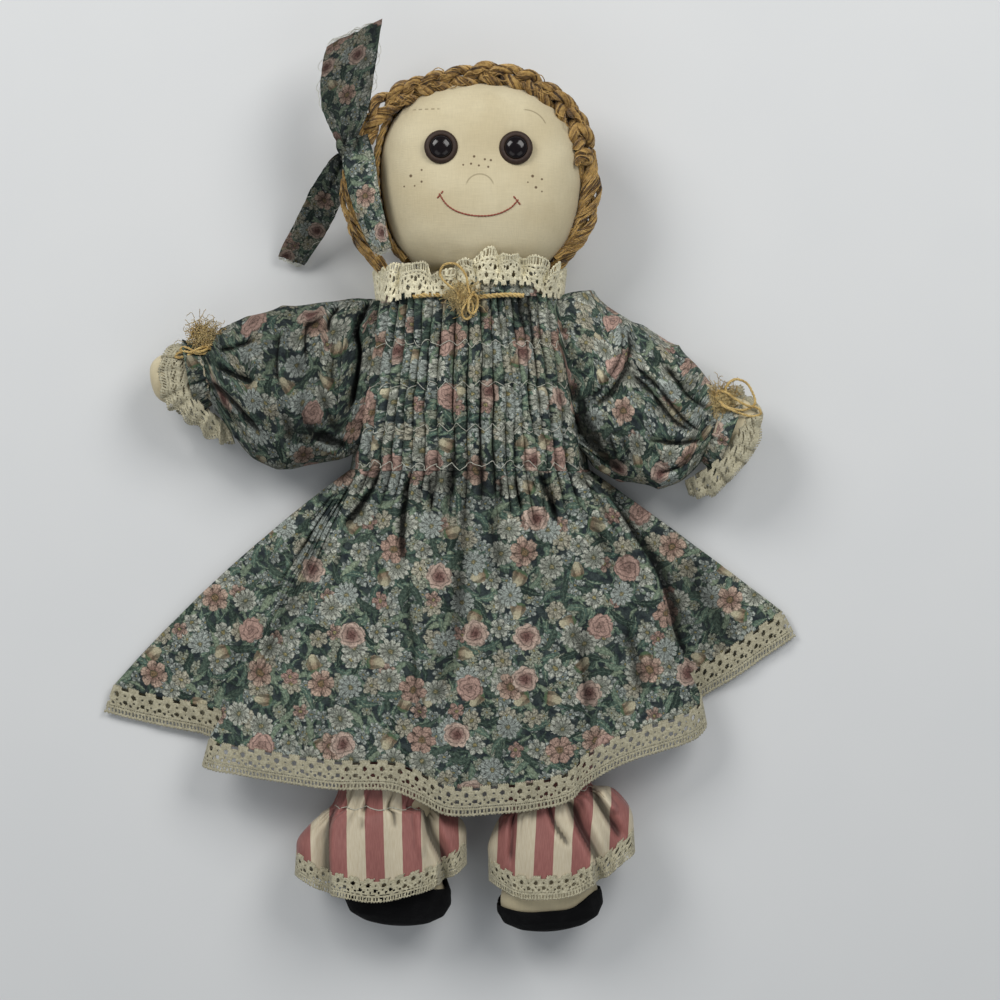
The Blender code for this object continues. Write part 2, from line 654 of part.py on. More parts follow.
def make_collar():
    middle = Vector((0, BODICE_TOP, TORSO_Z))
    columns = 32
    angles = even_angles(0, math.tau, columns)

    def place(across, along):
        column = round(across * columns) % columns
        angle = angles[column]
        y = BODICE_TOP + 2 * GAP + COLLAR_LENGTH * along
        ruffle = LACE * (1, -1)[column % 2] * along
        point = dress_section(angle, y, grow=ruffle)
        point.z = max(point.z, 0)
        return point

    surface("collar_lace", "cotton_lace", columns, 1, place, middle, LACE)
    radius = YARN_RADIUS
    y = BODICE_TOP - 2 * radius
    trim = math.pi * TRIM_ANGLE_SHARE
    angles = even_angles(math.pi - trim, trim, 20)
    points = [dress_section(a, y, grow=radius + CLOTH) for a in angles]
    line("neck_drawstring", "gold_yarn", points, radius, sides=1)
    crest = dress_section(math.pi / 2, y, grow=3 * radius + CLOTH + GAP)
    make_bow("neck_bow", crest, Vector((1, 0, 0)), Vector((0, 1, 0)), 7.5 * radius)


def make_bow(name, centre, along, across, reach):
    """Two loops of one yarn, in a figure of eight whose strands pass one over the other."""
    normal = UP
    steps = 20
    points = []
    for i in range(steps):
        angle = math.tau * i / steps
        lift = 1.3 * YARN_RADIUS * math.cos(angle)
        points.append(
            centre
            + along * (reach * math.sin(angle))
            + across * (reach / 2 * math.sin(2 * angle))
            + normal * (lift + 1.3 * YARN_RADIUS)
        )
    return line(name, "gold_yarn", points, YARN_RADIUS, closed=True, sides=1)


def make_shirring():
    """The zigzag rows of thread that hold the pleats."""
    count = 2 * ZIGZAGS
    trim = math.pi * TRIM_ANGLE_SHARE
    angles = even_angles(math.pi - trim, trim, count)
    for number, share in enumerate(SHIRRING_ROW_SHARES, 1):
        y = BODICE_TOP + (WAIST_Y - BODICE_TOP) * share
        points = [
            dress_section(a, y + ZIGZAG_DEPTH * (0.5, -0.5)[i % 2], grow=THREAD_RADIUS + CLOTH)
            for i, a in enumerate(angles)
        ]
        line(f"shirring_thread_{number}", "pale_thread", points, THREAD_RADIUS, sides=1)


WAIST_ANGLES = [(angle,) for angle in even_angles(math.pi, 0, 100)]


def hem_front(across):
    x, y, z = list_at(HEM_FRONT_SHARES, across)
    return Vector((SKIRT_HALF_SPREAD * x, -SKIRT_DROP * y, SKIRT_HEIGHT * z))


def hem_back(across):
    x, y = table_at([(row[0], row[0], row[1]) for row in HEM_BACK_SHARES], -1.0 + 1.88 * across)
    return Vector((SKIRT_HALF_SPREAD * x, -SKIRT_DROP * y, CLOTH))


def skirt_front_point(across, along):
    place = list_at([(share,) for share in SKIRT_WAIST_SHARES], across)[0]
    angle = list_at(WAIST_ANGLES, place)[0]
    top = dress_section(angle, WAIST_Y - CLOTH) + UP * (CLOTH / 2)
    hem = hem_front(across)
    point = top.lerp(hem, along)
    for axis, shares in ((0, SKIRT_SWING_SHARES), (2, SKIRT_RISE_SHARES)):
        row = table_at(shares, along)
        point[axis] += SKIRT_FOLD_DEPTH * list_at([(share,) for share in row], across)[0]
    seam = SEAM_HEIGHT * (1 - along) ** 2 + 2 * CLOTH + 2 * GAP
    if across in (0, 1):
        point.z = min(point.z, seam)
    return point


def skirt_back_point(across, along):
    top_x = WAIST_HALF_WIDTH * (2 * across - 1)
    top = Vector((top_x, WAIST_Y - CLOTH, CLOTH))
    point = top.lerp(hem_back(across), along)
    rise = max(0, abs(2 * across - 1) - 0.78) / 0.22
    low = CLOTH + GAP / 2
    point.z = low + (SEAM_HEIGHT - low - GAP) * (1 - along) ** 2 * rise**1.5
    return point


def make_skirt():
    below = Vector((0, (WAIST_Y - SKIRT_DROP) / 2, -SKIRT_DROP))
    stops = [row[0] for row in SKIRT_RISE_SHARES]
    rows, columns = len(stops) - 1, len(HEM_FRONT_SHARES) - 1

    def front_place(across, along):
        return skirt_front_point(across, stops[round(along * rows)])

    surface("skirt_front", "floral_cotton", columns, rows, front_place, below, CLOTH)
    surface("skirt_back", "floral_cotton", 18, 4, skirt_back_point, below, CLOTH)

    def lace_of(point_of, reach):
        def place(across, along):
            hem = point_of(across, 1.0)
            heading = hem - point_of(across, 0.86)
            heading.x *= HEM_LACE_FLARE_SHARE
            heading.z = 0
            heading.normalize()
            point = hem + heading * (CLOTH + reach * along)
            point.z = max(hem.z * (1 - 0.10 * along), LACE)
            return point

        return place

    front_lace = lace_of(skirt_front_point, HEM_LACE_WIDTH)
    back_lace = lace_of(skirt_back_point, HEM_LACE_WIDTH * 0.8)
    surface("hem_lace_front", "cotton_lace", columns, 1, front_lace, below, LACE)
    surface("hem_lace_back", "cotton_lace", 18, 1, back_lace, below, LACE)


def make_tab(name, x, y, z, radius):
    mesh = bpy.data.meshes.new(name)
    disc = bmesh.new()
    bmesh.ops.create_cone(
        disc, cap_ends=True, segments=12, radius1=radius, radius2=radius, depth=2 * TAB_HALF_THICK
    )
    disc.to_mesh(mesh)
    disc.free()
    obj = add_object(name, mesh, "calico")
    obj.location = (x, y, z)
    return obj


def make_arm(side, sign, drop):
    pivot = Vector((sign * SHOULDER_X, SHOULDER_Y, SHOULDER_Z))
    heading = Vector((sign * math.cos(math.radians(drop)), -math.sin(math.radians(drop)), 0))
    upper = Vector((sign * math.sin(math.radians(drop)), math.cos(math.radians(drop)), 0))
    make_tab(f"shoulder_tab_{side}", pivot.x, pivot.y, pivot.z, SHOULDER_TAB_RADIUS)
    arm = Stuffed(
        pivot + heading * ARM_START, heading, ARM_LENGTH, ARM_HALF_WIDTH, ARM_HALF_THICK, ARM_RING_SHARES,
    )
    arm.tag = f"_{side}"
    arm.make_pair("arm", 10)

    def ring(share, angle, grow=0.0):
        top, bottom, thick = table_at(SLEEVE_SHARES, share)
        across, upward = squared(angle, 2.2)
        lean = Vector((0, 1, 0)).lerp(upper, min(share / 0.5, 1)).normalized()
        middle = (top + bottom) / 2 * SLEEVE_DROP
        width = (top - bottom) / 2 * SLEEVE_DROP + grow
        point = pivot + heading * (SLEEVE_LENGTH * share) + lean * (middle + width * across)
        if not share:
            half = (SLEEVE_ROOT_TOP - SLEEVE_ROOT_BOTTOM) / 2
            point.y = SLEEVE_ROOT_TOP - half + half * across
            point.x = 0
        point.z += (SLEEVE_HALF_THICK * thick + grow) * upward
        spread = SLEEVE_LENGTH * SLEEVE_SPREAD_SHARE * share
        clear = beside_dress(point.y, point.z) + SLEEVE_CLEARANCE + spread
        point.x = sign * max(sign * point.x, clear)
        return point

    stops = [row[0] for row in SLEEVE_SHARES]
    segments = 16

    def sleeve_place(across, along):
        return ring(stops[round(along * (len(stops) - 1))], across * math.tau)

    centre = pivot + heading * (SLEEVE_LENGTH / 2) - upper * (SLEEVE_DROP / 3)
    surface(
        f"sleeve_{side}", "floral_cotton", segments, len(stops) - 1, sleeve_place, centre, CLOTH
    )

    wrist_top, wrist_bottom, wrist_thick = SLEEVE_SHARES[-1][1:]
    wrist = pivot + heading * (SLEEVE_LENGTH + 2 * GAP)
    wrist_middle = (wrist_top + wrist_bottom) / 2 * SLEEVE_DROP
    wrist_width = (wrist_top - wrist_bottom) / 2 * SLEEVE_DROP

    def cuff_place(across, along):
        column = round(across * 20) % 20
        ruffle = 1 + 0.06 * (1, -1)[column % 2] * along
        width = (wrist_width + (CUFF_HALF_WIDTH - wrist_width) * along) * ruffle
        thick = SLEEVE_HALF_THICK * wrist_thick
        thick = (thick + (CUFF_HALF_THICK - thick) * along) * ruffle
        x, z = squared(math.tau * column / 20, 2.0)
        point = wrist + heading * (CUFF_LENGTH * along) + upper * (wrist_middle + width * x)
        return point + UP * (thick * z)

    surface(f"cuff_lace_{side}", "cotton_lace", 20, 1, cuff_place, wrist, LACE)
    tie_share = 0.970
    grow = YARN_RADIUS + 2 * GAP
    points = [ring(tie_share, math.tau * i / 16, grow) for i in range(16)]
    line(f"wrist_tie_{side}", "gold_yarn", points, YARN_RADIUS, closed=True, sides=1)
    top = ring(tie_share, math.pi / 2, grow) + UP * (2 * YARN_RADIUS + GAP)
    bow = heading * YARN_RADIUS + top
    make_bow(f"wrist_bow_{side}", bow, -upper, heading, 6 * YARN_RADIUS)


def make_leg(side, sign):
    pivot = Vector((sign * HIP_X, HIP_Y, LEG_Z))
    spread = math.radians(LEG_SPREAD)
    heading = Vector((sign * math.sin(spread), -math.cos(spread), 0))
    make_tab(f"hip_tab_{side}", pivot.x, pivot.y, pivot.z, HIP_TAB_RADIUS)
    leg = Stuffed(
        pivot + heading * LEG_START, heading, LEG_LENGTH, LEG_HALF_WIDTH, LEG_HALF_THICK, LEG_RING_SHARES,
    )
    leg.tag = f"_{side}"
    leg.make_pair("leg", 10)
    leg.make(
        f"shoe_{side}", "black_felt", 10, wall=CALICO, grow=CALICO + 2 * GAP, first=SHOE_START_SHARE
    )

    bag = Stuffed(
        pivot, heading, BLOOMER_LENGTH, BLOOMER_HALF_WIDTH, BLOOMER_HALF_THICK, BLOOMER_RING_SHARES
    )
    stops = [row[0] for row in BLOOMER_RING_SHARES]
    place = bag.ring_place(stops, False)
    surface(
        f"bloomers_leg_{side}", "striped_cotton", 16, len(stops) - 1, place, bag.middle, CLOTH
    )
    share = BLOOMER_GATHER_SHARE
    grow = THREAD_RADIUS + 2 * GAP
    points = [bag.point(share, math.tau * i / 16, grow) for i in range(16)]
    line(f"leg_elastic_{side}", "pale_thread", points, THREAD_RADIUS, closed=True, sides=1)

    def lace_place(across, along):
        point = bag.point(1.0, across * math.tau)
        return point + heading * (CLOTH + BLOOMER_LACE_WIDTH * along)

    surface(f"bloomers_lace_{side}", "cotton_lace", 20, 1, lace_place, bag.middle, LACE)


def make_seat(torso):
    """The bloomers round the hips, over the torso."""
    place = torso.ring_place(SEAT_STOP_SHARES, False)
    rows = len(SEAT_STOP_SHARES) - 1
    clear = CLOTH + GAP * SLACK_SHARE
    surface("bloomers_seat", "striped_cotton", 14, rows, place, torso.middle, CLOTH, clear)


def main():
    torso = make_torso()
    head = make_head()
    make_neck()
    make_face(head)
    make_hair(head)
    make_ribbon()
    make_bodice()
    make_collar()
    make_shirring()
    make_skirt()
    make_seat(torso)
    for side, sign, drop in SIDES:
        make_arm(side, sign, drop)
        make_leg(side, sign)


main()
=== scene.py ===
"""The looks of a rag doll that lies on its back: cloth, lace, yarn, thread and buttons.

Tables of points are in millimetres in the frame of the solids: +X is the viewer's right, +Y
runs towards the head and +Z out of the doll's front. Left and right are the doll's own.
"""

import math

import bmesh
import bpy
import numpy as np
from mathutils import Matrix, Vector


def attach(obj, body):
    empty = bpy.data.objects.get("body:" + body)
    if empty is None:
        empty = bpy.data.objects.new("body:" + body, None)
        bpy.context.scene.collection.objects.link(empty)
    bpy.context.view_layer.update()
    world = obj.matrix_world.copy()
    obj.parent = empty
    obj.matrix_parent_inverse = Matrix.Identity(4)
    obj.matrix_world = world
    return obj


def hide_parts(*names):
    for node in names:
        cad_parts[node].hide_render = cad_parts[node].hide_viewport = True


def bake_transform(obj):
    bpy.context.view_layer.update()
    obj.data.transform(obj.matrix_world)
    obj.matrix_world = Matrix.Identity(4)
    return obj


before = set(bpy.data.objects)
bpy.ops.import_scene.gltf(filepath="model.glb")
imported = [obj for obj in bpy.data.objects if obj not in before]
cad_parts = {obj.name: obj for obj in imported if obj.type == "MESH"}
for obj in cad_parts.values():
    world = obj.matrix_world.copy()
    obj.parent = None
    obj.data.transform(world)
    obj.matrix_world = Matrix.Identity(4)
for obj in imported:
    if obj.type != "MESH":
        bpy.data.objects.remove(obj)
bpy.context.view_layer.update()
MM = 0.001
TAU = math.tau
UP = np.array((0.0, 0.0, 1.0))


# ---------------------------------------------------------------- camera, lamps and floor
def make_camera():
    data = bpy.data.cameras.new("camera")
    data.lens = 108
    data.sensor_width = 36
    data.clip_start = 0.05
    camera = bpy.data.objects.new("camera", data)
    camera.location = (0.012, -0.040, 1.2)
    bpy.context.scene.collection.objects.link(camera)
    bpy.context.scene.camera = camera


def make_lamps():
    """Four square lamps over the corners, the one beyond the head on the left the strongest."""
    aim = Vector((0.0, -0.02, 0.02))
    for name, x, y, power in (
        ("far_left", -0.62, 0.58, 6.2), ("far_right", 0.46, 0.50, 5.0),
        ("near_left", -0.40, -0.46, 0.6), ("near_right", 0.42, -0.46, 0.6),
    ):
        data = bpy.data.lights.new(name, "AREA")
        data.shape = "SQUARE"
        data.size = 0.52
        data.energy = power
        data.color = (1.0, 0.985, 0.96)
        lamp = bpy.data.objects.new(name, data)
        lamp.location = (x, y, 0.80)
        lamp.rotation_mode = "QUATERNION"
        lamp.rotation_quaternion = (aim - lamp.location).to_track_quat("-Z", "Y")
        bpy.context.scene.collection.objects.link(lamp)
    world = bpy.data.worlds.new("studio")
    world.use_nodes = True
    sky = world.node_tree.nodes["Background"].inputs
    sky["Color"].default_value = (0.86, 0.93, 1.0, 1)
    sky["Strength"].default_value = 0.22
    bpy.context.scene.world = world


# ---------------------------------------------------------------- node trees
class Value:
    """A socket of a node tree that stands in plain sums."""

    def __init__(self, nodes, socket):
        self.nodes = nodes
        self.socket = socket

    def maths(self, operation, other=None, third=None, first=False):
        values = {0: other, 1: self} if first else {0: self}
        if other is not None and not first:
            values[1] = other
        if third is not None:
            values[2] = third
        return self.nodes.node("ShaderNodeMath", {"operation": operation}, values)

    def __add__(self, other):
        return self.maths("ADD", other)

    def __sub__(self, other):
        return self.maths("SUBTRACT", other)

    def __mul__(self, other):
        return self.maths("MULTIPLY", other)

    def __truediv__(self, other):
        return self.maths("DIVIDE", other)

    def __pow__(self, other):
        return self.maths("POWER", other)

    def __rsub__(self, other):
        return self.maths("SUBTRACT", other, first=True)

    def __neg__(self):
        return self.maths("MULTIPLY", -1.0)

    def __abs__(self):
        return self.maths("ABSOLUTE")

    def __gt__(self, other):
        return self.maths("GREATER_THAN", other)

    def __lt__(self, other):
        return self.maths("LESS_THAN", other)

    __radd__ = __add__
    __rmul__ = __mul__

    def most(self, other):
        return self.maths("MAXIMUM", other)

    def sine(self):
        return self.maths("SINE")

    def cosine(self):
        return self.maths("COSINE")

    def part(self):
        """What is left after the whole number."""
        return self.maths("FRACT")

    def rise(self, low, high):
        """0 below low, 1 above high and smooth between them."""
        return self.nodes.node(
            "ShaderNodeMapRange", {"interpolation_type": "SMOOTHSTEP"},
            {"Value": self, "From Min": low, "From Max": high},
        )


class Nodes:
    """A node tree that is built by one call for each node."""

    def __init__(self, tree):
        self.tree = tree

    def node(self, kind, settings=(), values=(), out=0):
        """A node with its settings made first, then its sockets. Gives one of its outputs."""
        made = self.tree.nodes.new(kind)
        for key, value in dict(settings).items():
            if key == "stops":
                ramp = made.color_ramp.elements
                while len(ramp) < len(value):
                    ramp.new(0.5)
                for stop, (place, colour) in zip(ramp, value, strict=True):
                    stop.position = place
                    stop.color = (*colour, 1)
            else:
                setattr(made, key, value)
        for key, value in dict(values).items():
            socket = made.inputs[key]
            if isinstance(value, Value):
                self.tree.links.new(value.socket, socket)
            elif hasattr(socket.default_value, "__len__") and len(value) < len(socket.default_value):
                socket.default_value = (*value, 1)
            else:
                socket.default_value = value
        if out is None:
            return made
        return Value(self, made.outputs[out])

    def mix(self, below, above, mask):
        """One colour laid over another through a mask."""
        return self.node(
            "ShaderNodeMix", {"data_type": "RGBA"}, {0: mask, 6: below, 7: above}, out=2
        )

    def tint(self, colour, amount):
        """A colour multiplied by a number."""
        grey = self.node("ShaderNodeCombineXYZ", (), {0: amount, 1: amount, 2: amount})
        return self.node(
            "ShaderNodeMix", {"data_type": "RGBA", "blend_type": "MULTIPLY"},
            {0: 1.0, 6: colour, 7: grey}, out=2,
        )

    def split(self, vector):
        made = self.node("ShaderNodeSeparateXYZ", (), {0: vector}, out=None)
        return [Value(self, made.outputs[i]) for i in range(3)]

    def vector(self, operation, first, second):
        return self.node("ShaderNodeVectorMath", {"operation": operation}, {0: first, 1: second})

    def noise(self, place, scale, detail=2.0, rough=0.5):
        return self.node(
            "ShaderNodeTexNoise", (),
            {"Vector": place, "Scale": scale, "Detail": detail, "Roughness": rough},
        )


class Finish(Nodes):
    """A material whose Principled shader is fed by the tree."""

    def __init__(self, name):
        self.material = bpy.data.materials.new(name)
        self.material.use_nodes = True
        super().__init__(self.material.node_tree)
        self.shader = self.tree.nodes["Principled BSDF"]

    def object_mm(self):
        """Where a point of the piece is, in millimetres."""
        where = self.node("ShaderNodeTexCoord", out="Object")
        return self.vector("MULTIPLY", where, (1 / MM, 1 / MM, 1 / MM))

    def cloth_mm(self):
        """Where a point is on the flat cloth, in millimetres."""
        where = self.node("ShaderNodeUVMap", {"uv_map": "cloth"})
        return self.vector("MULTIPLY", where, (1 / MM, 1 / MM, 1 / MM))

    def set(self, **values):
        for key, value in values.items():
            name = key.replace("_", " ").title().replace("Ior", "IOR")
            socket = self.shader.inputs[name]
            if isinstance(value, Value):
                self.tree.links.new(value.socket, socket)
            elif hasattr(socket.default_value, "__len__"):
                socket.default_value = (*value, 1)
            else:
                socket.default_value = value

    def bump(self, height, distance, strength=1.0):
        """Relief of that height in metres where the value is 1."""
        normal = self.node(
            "ShaderNodeBump", (), {"Height": height, "Distance": distance, "Strength": strength}
        )
        self.tree.links.new(normal.socket, self.shader.inputs["Normal"])


# ---------------------------------------------------------------- finishes
class Motif:
    """One layer of scattered print: where a point is in the nearest motif's own frame."""

    def __init__(self, nodes, place, cell, randomness, shift):
        moved = nodes.vector("ADD", place, (shift, shift * 0.7, 0.0))
        cells = nodes.node(
            "ShaderNodeTexVoronoi", {"voronoi_dimensions": "2D"},
            {"Vector": moved, "Scale": 1 / cell, "Randomness": randomness}, out=None,
        )
        centre = Value(nodes, cells.outputs["Position"])
        x, y, _ = nodes.split(nodes.vector("SUBTRACT", moved, centre))
        colour = Value(nodes, cells.outputs["Color"])
        picks = nodes.node("ShaderNodeSeparateColor", (), {0: colour}, out=None)
        self.pick, self.luck, self.shade = (Value(nodes, picks.outputs[i]) for i in range(3))
        self.reach = (x * x + y * y) ** 0.5
        self.angle = y.maths("ARCTAN2", x) + self.pick * TAU
        self.x = self.reach * self.angle.cosine()
        self.y = self.reach * self.angle.sine()

    def petals(self, count, radius, notch):
        """How far inside a flower's edge a point is, and how near the middle of its petal."""
        ridge = abs((self.angle * (count / 2)).cosine()) ** 0.55
        edge = (ridge * notch + (1 - notch)) * radius
        return edge - self.reach, ridge


GROUND = (0.015, 0.021, 0.025)


def paint_leaves(nodes, cloth, place, cell, shift, length, breadth, tones, share=1.0):
    """Pointed leaves with a pale middle vein and a dark edge."""
    leaf = Motif(nodes, place, cell, 0.95, shift)
    bend = leaf.y + leaf.x * leaf.x * (0.30 / length)
    along = abs(leaf.x) / length
    inside = (1 - along * along) * breadth - abs(bend)
    mask = inside.rise(0.0, 0.25)
    if share < 1:
        mask = mask * (leaf.luck < share)
    body = nodes.node(
        "ShaderNodeValToRGB", {"stops": [(0.0, tones[0]), (0.5, tones[1]), (1.0, tones[2])]},
        {0: leaf.shade},
    )
    ribs = ((leaf.x * 3.4 + abs(bend) * 3.0).sine() * 0.5 + 0.5) * 0.45 + 0.70
    body = nodes.tint(body, ribs * (inside.rise(0.05, 0.55) * 0.55 + 0.45))
    body = nodes.mix(body, tones[3], abs(bend).rise(0.16, 0.05) * 0.6)
    return nodes.mix(cloth, body, mask)


def paint_flowers(nodes, cloth, place, cell, shift, count, radius, look):
    """Open flowers with shaded petals, a dark outline and an eye in the middle."""
    flower = Motif(nodes, place, cell, look.get("scatter", 0.85), shift)
    inside, ridge = flower.petals(count, radius, look["notch"])
    mask = inside.rise(0.0, 0.22)
    if look.get("share", 1) < 1:
        mask = mask * (flower.luck < look["share"])
    body = nodes.mix(look["inner"], look["outer"], flower.reach.rise(0.0, radius * 0.95))
    body = nodes.mix(body, look["other"], (flower.shade > look.get("plain", 0.5)) * 0.85)
    veins = (flower.angle * (count * look.get("veins", 1.5))).sine().rise(-0.9, 0.3) * 0.42 + 0.66
    fold = ridge.rise(0.25, 0.80) * 0.62 + 0.38
    edge = inside.rise(0.08, 0.50) * 0.62 + 0.38
    upper = (abs((flower.angle * (count / 2) + 1.1).cosine()) ** 0.5) * 0.30 + 0.36
    rim = abs(upper * radius - flower.reach).rise(0.05, 0.40) * 0.55 + 0.45
    body = nodes.tint(body, veins * fold * edge * rim)
    eye = look["eye"]
    ring = flower.reach.rise(eye * 1.55, eye * 1.1)
    body = nodes.mix(body, look["ring"], ring * 0.75)
    dots = ((flower.x * 5.5).sine() * (flower.y * 5.5).sine()).rise(-0.5, 0.5)
    body = nodes.mix(body, nodes.tint(look["middle"], dots * 0.6 + 0.6), flower.reach.rise(eye, eye * 0.75))
    return nodes.mix(cloth, body, mask)


def paint_roses(nodes, cloth, place, cell, shift, radius, tones, share=1.0):
    """Full roses: rings of curled petals that turn round a deep middle."""
    rose = Motif(nodes, place, cell, 0.75, shift)
    inside, _ = rose.petals(7, radius, 0.16)
    mask = inside.rise(0.0, 0.25)
    if share < 1:
        mask = mask * (rose.luck < share)
    body = nodes.mix(tones[1], tones[0], rose.reach.rise(0.5, radius))
    body = nodes.mix(body, tones[2], (rose.shade > 0.62) * 0.9)
    turns = rose.reach * 3.4 + (rose.angle * 3.0 + rose.pick * 9.0).sine() * 1.5 + rose.angle
    turns = turns + (rose.angle * 5.0 + rose.reach * 2.0).sine() * 0.5
    curls = turns.sine().rise(-1.0, -0.35)
    gaps = (rose.angle * 5.0 + rose.reach * 1.6).sine().rise(-0.98, -0.70)
    depth = rose.reach.rise(0.0, radius * 0.55) * 0.35 + 0.65
    body = nodes.tint(body, (curls * 0.52 + 0.48) * (gaps * 0.3 + 0.7) * depth)
    body = nodes.tint(body, inside.rise(0.05, 0.55) * 0.5 + 0.5)
    return nodes.mix(cloth, body, mask)


def paint_buds(nodes, cloth, place, cell, shift, radius, tones, share=1.0):
    """Closed buds: an egg with dark lines between its petals and a green cup."""
    bud = Motif(nodes, place, cell, 0.8, shift)
    lean = bud.x / radius
    breadth = (1 - lean * lean) ** 0.5 * (0.80 - lean * 0.16) * radius
    inside = breadth - abs(bud.y)
    mask = inside.rise(0.0, 0.25) * (abs(bud.x) < radius)
    if share < 1:
        mask = mask * (bud.luck < share)
    body = nodes.mix(tones[0], tones[1], lean.rise(-0.8, 0.6))
    lines = (bud.y * (4.6 / radius) * (1.35 - lean * 0.35)).cosine().rise(-0.75, -0.1)
    body = nodes.tint(body, (lines * 0.55 + 0.45) * (inside.rise(0.08, 0.5) * 0.5 + 0.5))
    body = nodes.mix(body, tones[2], lean.rise(-0.45, -0.80))
    return nodes.mix(cloth, body, mask)


def floral_cotton(name="floral_cotton", tone=1.0):
    """Fine cotton, printed all over with small garden flowers among leaves, drawn in fine lines, with
    painted shade in its folds.
    """
    made = Finish(name)
    place = made.cloth_mm()
    x, y, _ = made.split(place)
    drift = (made.noise(place, 0.16, 2.0) - 0.5) * 2.6
    quiver = (made.noise(place, 0.95, 2.0) - 0.5) * 1.25
    ragged = (made.noise(place, 2.3, 1.0) - 0.5) * 0.85
    place = made.node(
        "ShaderNodeCombineXYZ", (), {0: x + drift + quiver + ragged, 1: y - drift + quiver * 0.8 - ragged}
    )
    wash = made.noise(place, 0.35, 3.0)
    print_ = made.mix(GROUND, (0.036, 0.048, 0.047), wash.rise(0.35, 0.65))
    dark = ((0.022, 0.036, 0.030), (0.036, 0.056, 0.045), (0.060, 0.088, 0.068), (0.12, 0.16, 0.12))
    sage = ((0.054, 0.090, 0.074), (0.100, 0.148, 0.112), (0.175, 0.215, 0.150), (0.28, 0.32, 0.22))
    print_ = paint_leaves(made, print_, place, 4.9, 3.0, 4.2, 1.15, dark)
    print_ = paint_leaves(made, print_, place, 5.8, 41.0, 4.4, 1.20, sage, 0.85)
    print_ = paint_leaves(made, print_, place, 6.6, 87.0, 4.0, 0.80, sage, 0.8)
    small = {
        "notch": 0.46, "inner": (0.09, 0.12, 0.115), "outer": (0.34, 0.37, 0.335),
        "other": (0.27, 0.285, 0.215), "ring": (0.045, 0.055, 0.04), "middle": (0.22, 0.19, 0.09),
        "eye": 0.45, "scatter": 0.9, "share": 0.8, "plain": 0.6, "veins": 2.0,
    }
    print_ = paint_flowers(made, print_, place, 5.9, 19.0, 5, 2.5, small)
    print_ = paint_flowers(made, print_, place, 7.4, 63.0, 5, 2.9, dict(small, share=0.6))
    print_ = paint_leaves(made, print_, place, 9.6, 131.0, 6.0, 1.45, sage, 0.80)
    print_ = paint_leaves(made, print_, place, 12.4, 171.0, 6.6, 1.55, dark, 0.70)
    pink = dict(
        small, inner=(0.14, 0.080, 0.068), outer=(0.37, 0.28, 0.225), other=(0.30, 0.20, 0.165),
        share=0.32, eye=0.7, veins=3.0,
    )
    middling = dict(
        small, inner=(0.12, 0.14, 0.12), outer=(0.40, 0.41, 0.35), other=(0.33, 0.31, 0.235), share=0.55,
        eye=0.75, veins=3.0, notch=0.40,
    )
    print_ = paint_flowers(made, print_, place, 11.3, 151.0, 6, 4.0, middling)
    print_ = paint_flowers(made, print_, place, 15.0, 29.0, 5, 3.4, pink)
    buds = ((0.19, 0.13, 0.085), (0.37, 0.34, 0.235), (0.07, 0.11, 0.06))
    print_ = paint_buds(made, print_, place, 17.0, 53.0, 3.5, buds, 0.42)
    daisy = {
        "notch": 0.30, "inner": (0.11, 0.125, 0.10), "outer": (0.39, 0.40, 0.34),
        "other": (0.29, 0.325, 0.30), "ring": (0.05, 0.055, 0.03), "middle": (0.21, 0.185, 0.10),
        "eye": 0.8, "scatter": 0.85, "share": 0.60, "plain": 0.6, "veins": 2.5,
    }
    print_ = paint_flowers(made, print_, place, 15.6, 97.0, 11, 5.0, daisy)
    open_ = dict(
        daisy, notch=0.30, inner=(0.15, 0.078, 0.062), outer=(0.40, 0.30, 0.235), other=(0.33, 0.225, 0.18),
        share=0.45, eye=1.2, middle=(0.16, 0.11, 0.06), veins=4.0,
    )
    print_ = paint_flowers(made, print_, place, 27.0, 11.0, 6, 5.7, open_)
    rose = ((0.46, 0.36, 0.295), (0.17, 0.088, 0.076), (0.36, 0.24, 0.20))
    print_ = paint_roses(made, print_, place, 22.0, 71.0, 5.3, rose, 0.46)
    grain = made.noise(place, 1.6, 3.0, 0.7)
    fade = made.noise(place, 0.05, 2.0)
    wear_and_painted_shade = (grain.rise(0.28, 0.72) * 0.80 + 0.68) * (fade.rise(0.2, 0.8) * 0.3 + 0.85) * tone
    # Painted shade from the fold attribute: up to 88% darker in hollows and creases, and up to 25% lighter,
    # a painted highlight, on crests.
    fold = made.node("ShaderNodeAttribute", {"attribute_name": "fold"}, out=2)
    wear_and_painted_shade = wear_and_painted_shade * (fold.rise(0.0, 1.0) * -0.88 + 1.0) * (fold.rise(0.0, -0.9) * 0.25 + 1.0)
    print_ = made.tint(print_, wear_and_painted_shade)
    fx, fy, _ = made.split(made.cloth_mm())
    weave = (fx * (TAU / 0.42)).sine() * (fy * (TAU / 0.46)).sine()
    slub = made.noise(made.cloth_mm(), 1.4, 3.0)
    made.set(Base_Color=print_, Roughness=wash * 0.12 + 0.80, Specular_IOR_Level=0.2)
    crinkle = made.noise(made.cloth_mm(), 0.34, 3.0)
    made.bump(weave * 0.35 + slub + crinkle * 6.0, 0.00006, 0.8)
    return made.material


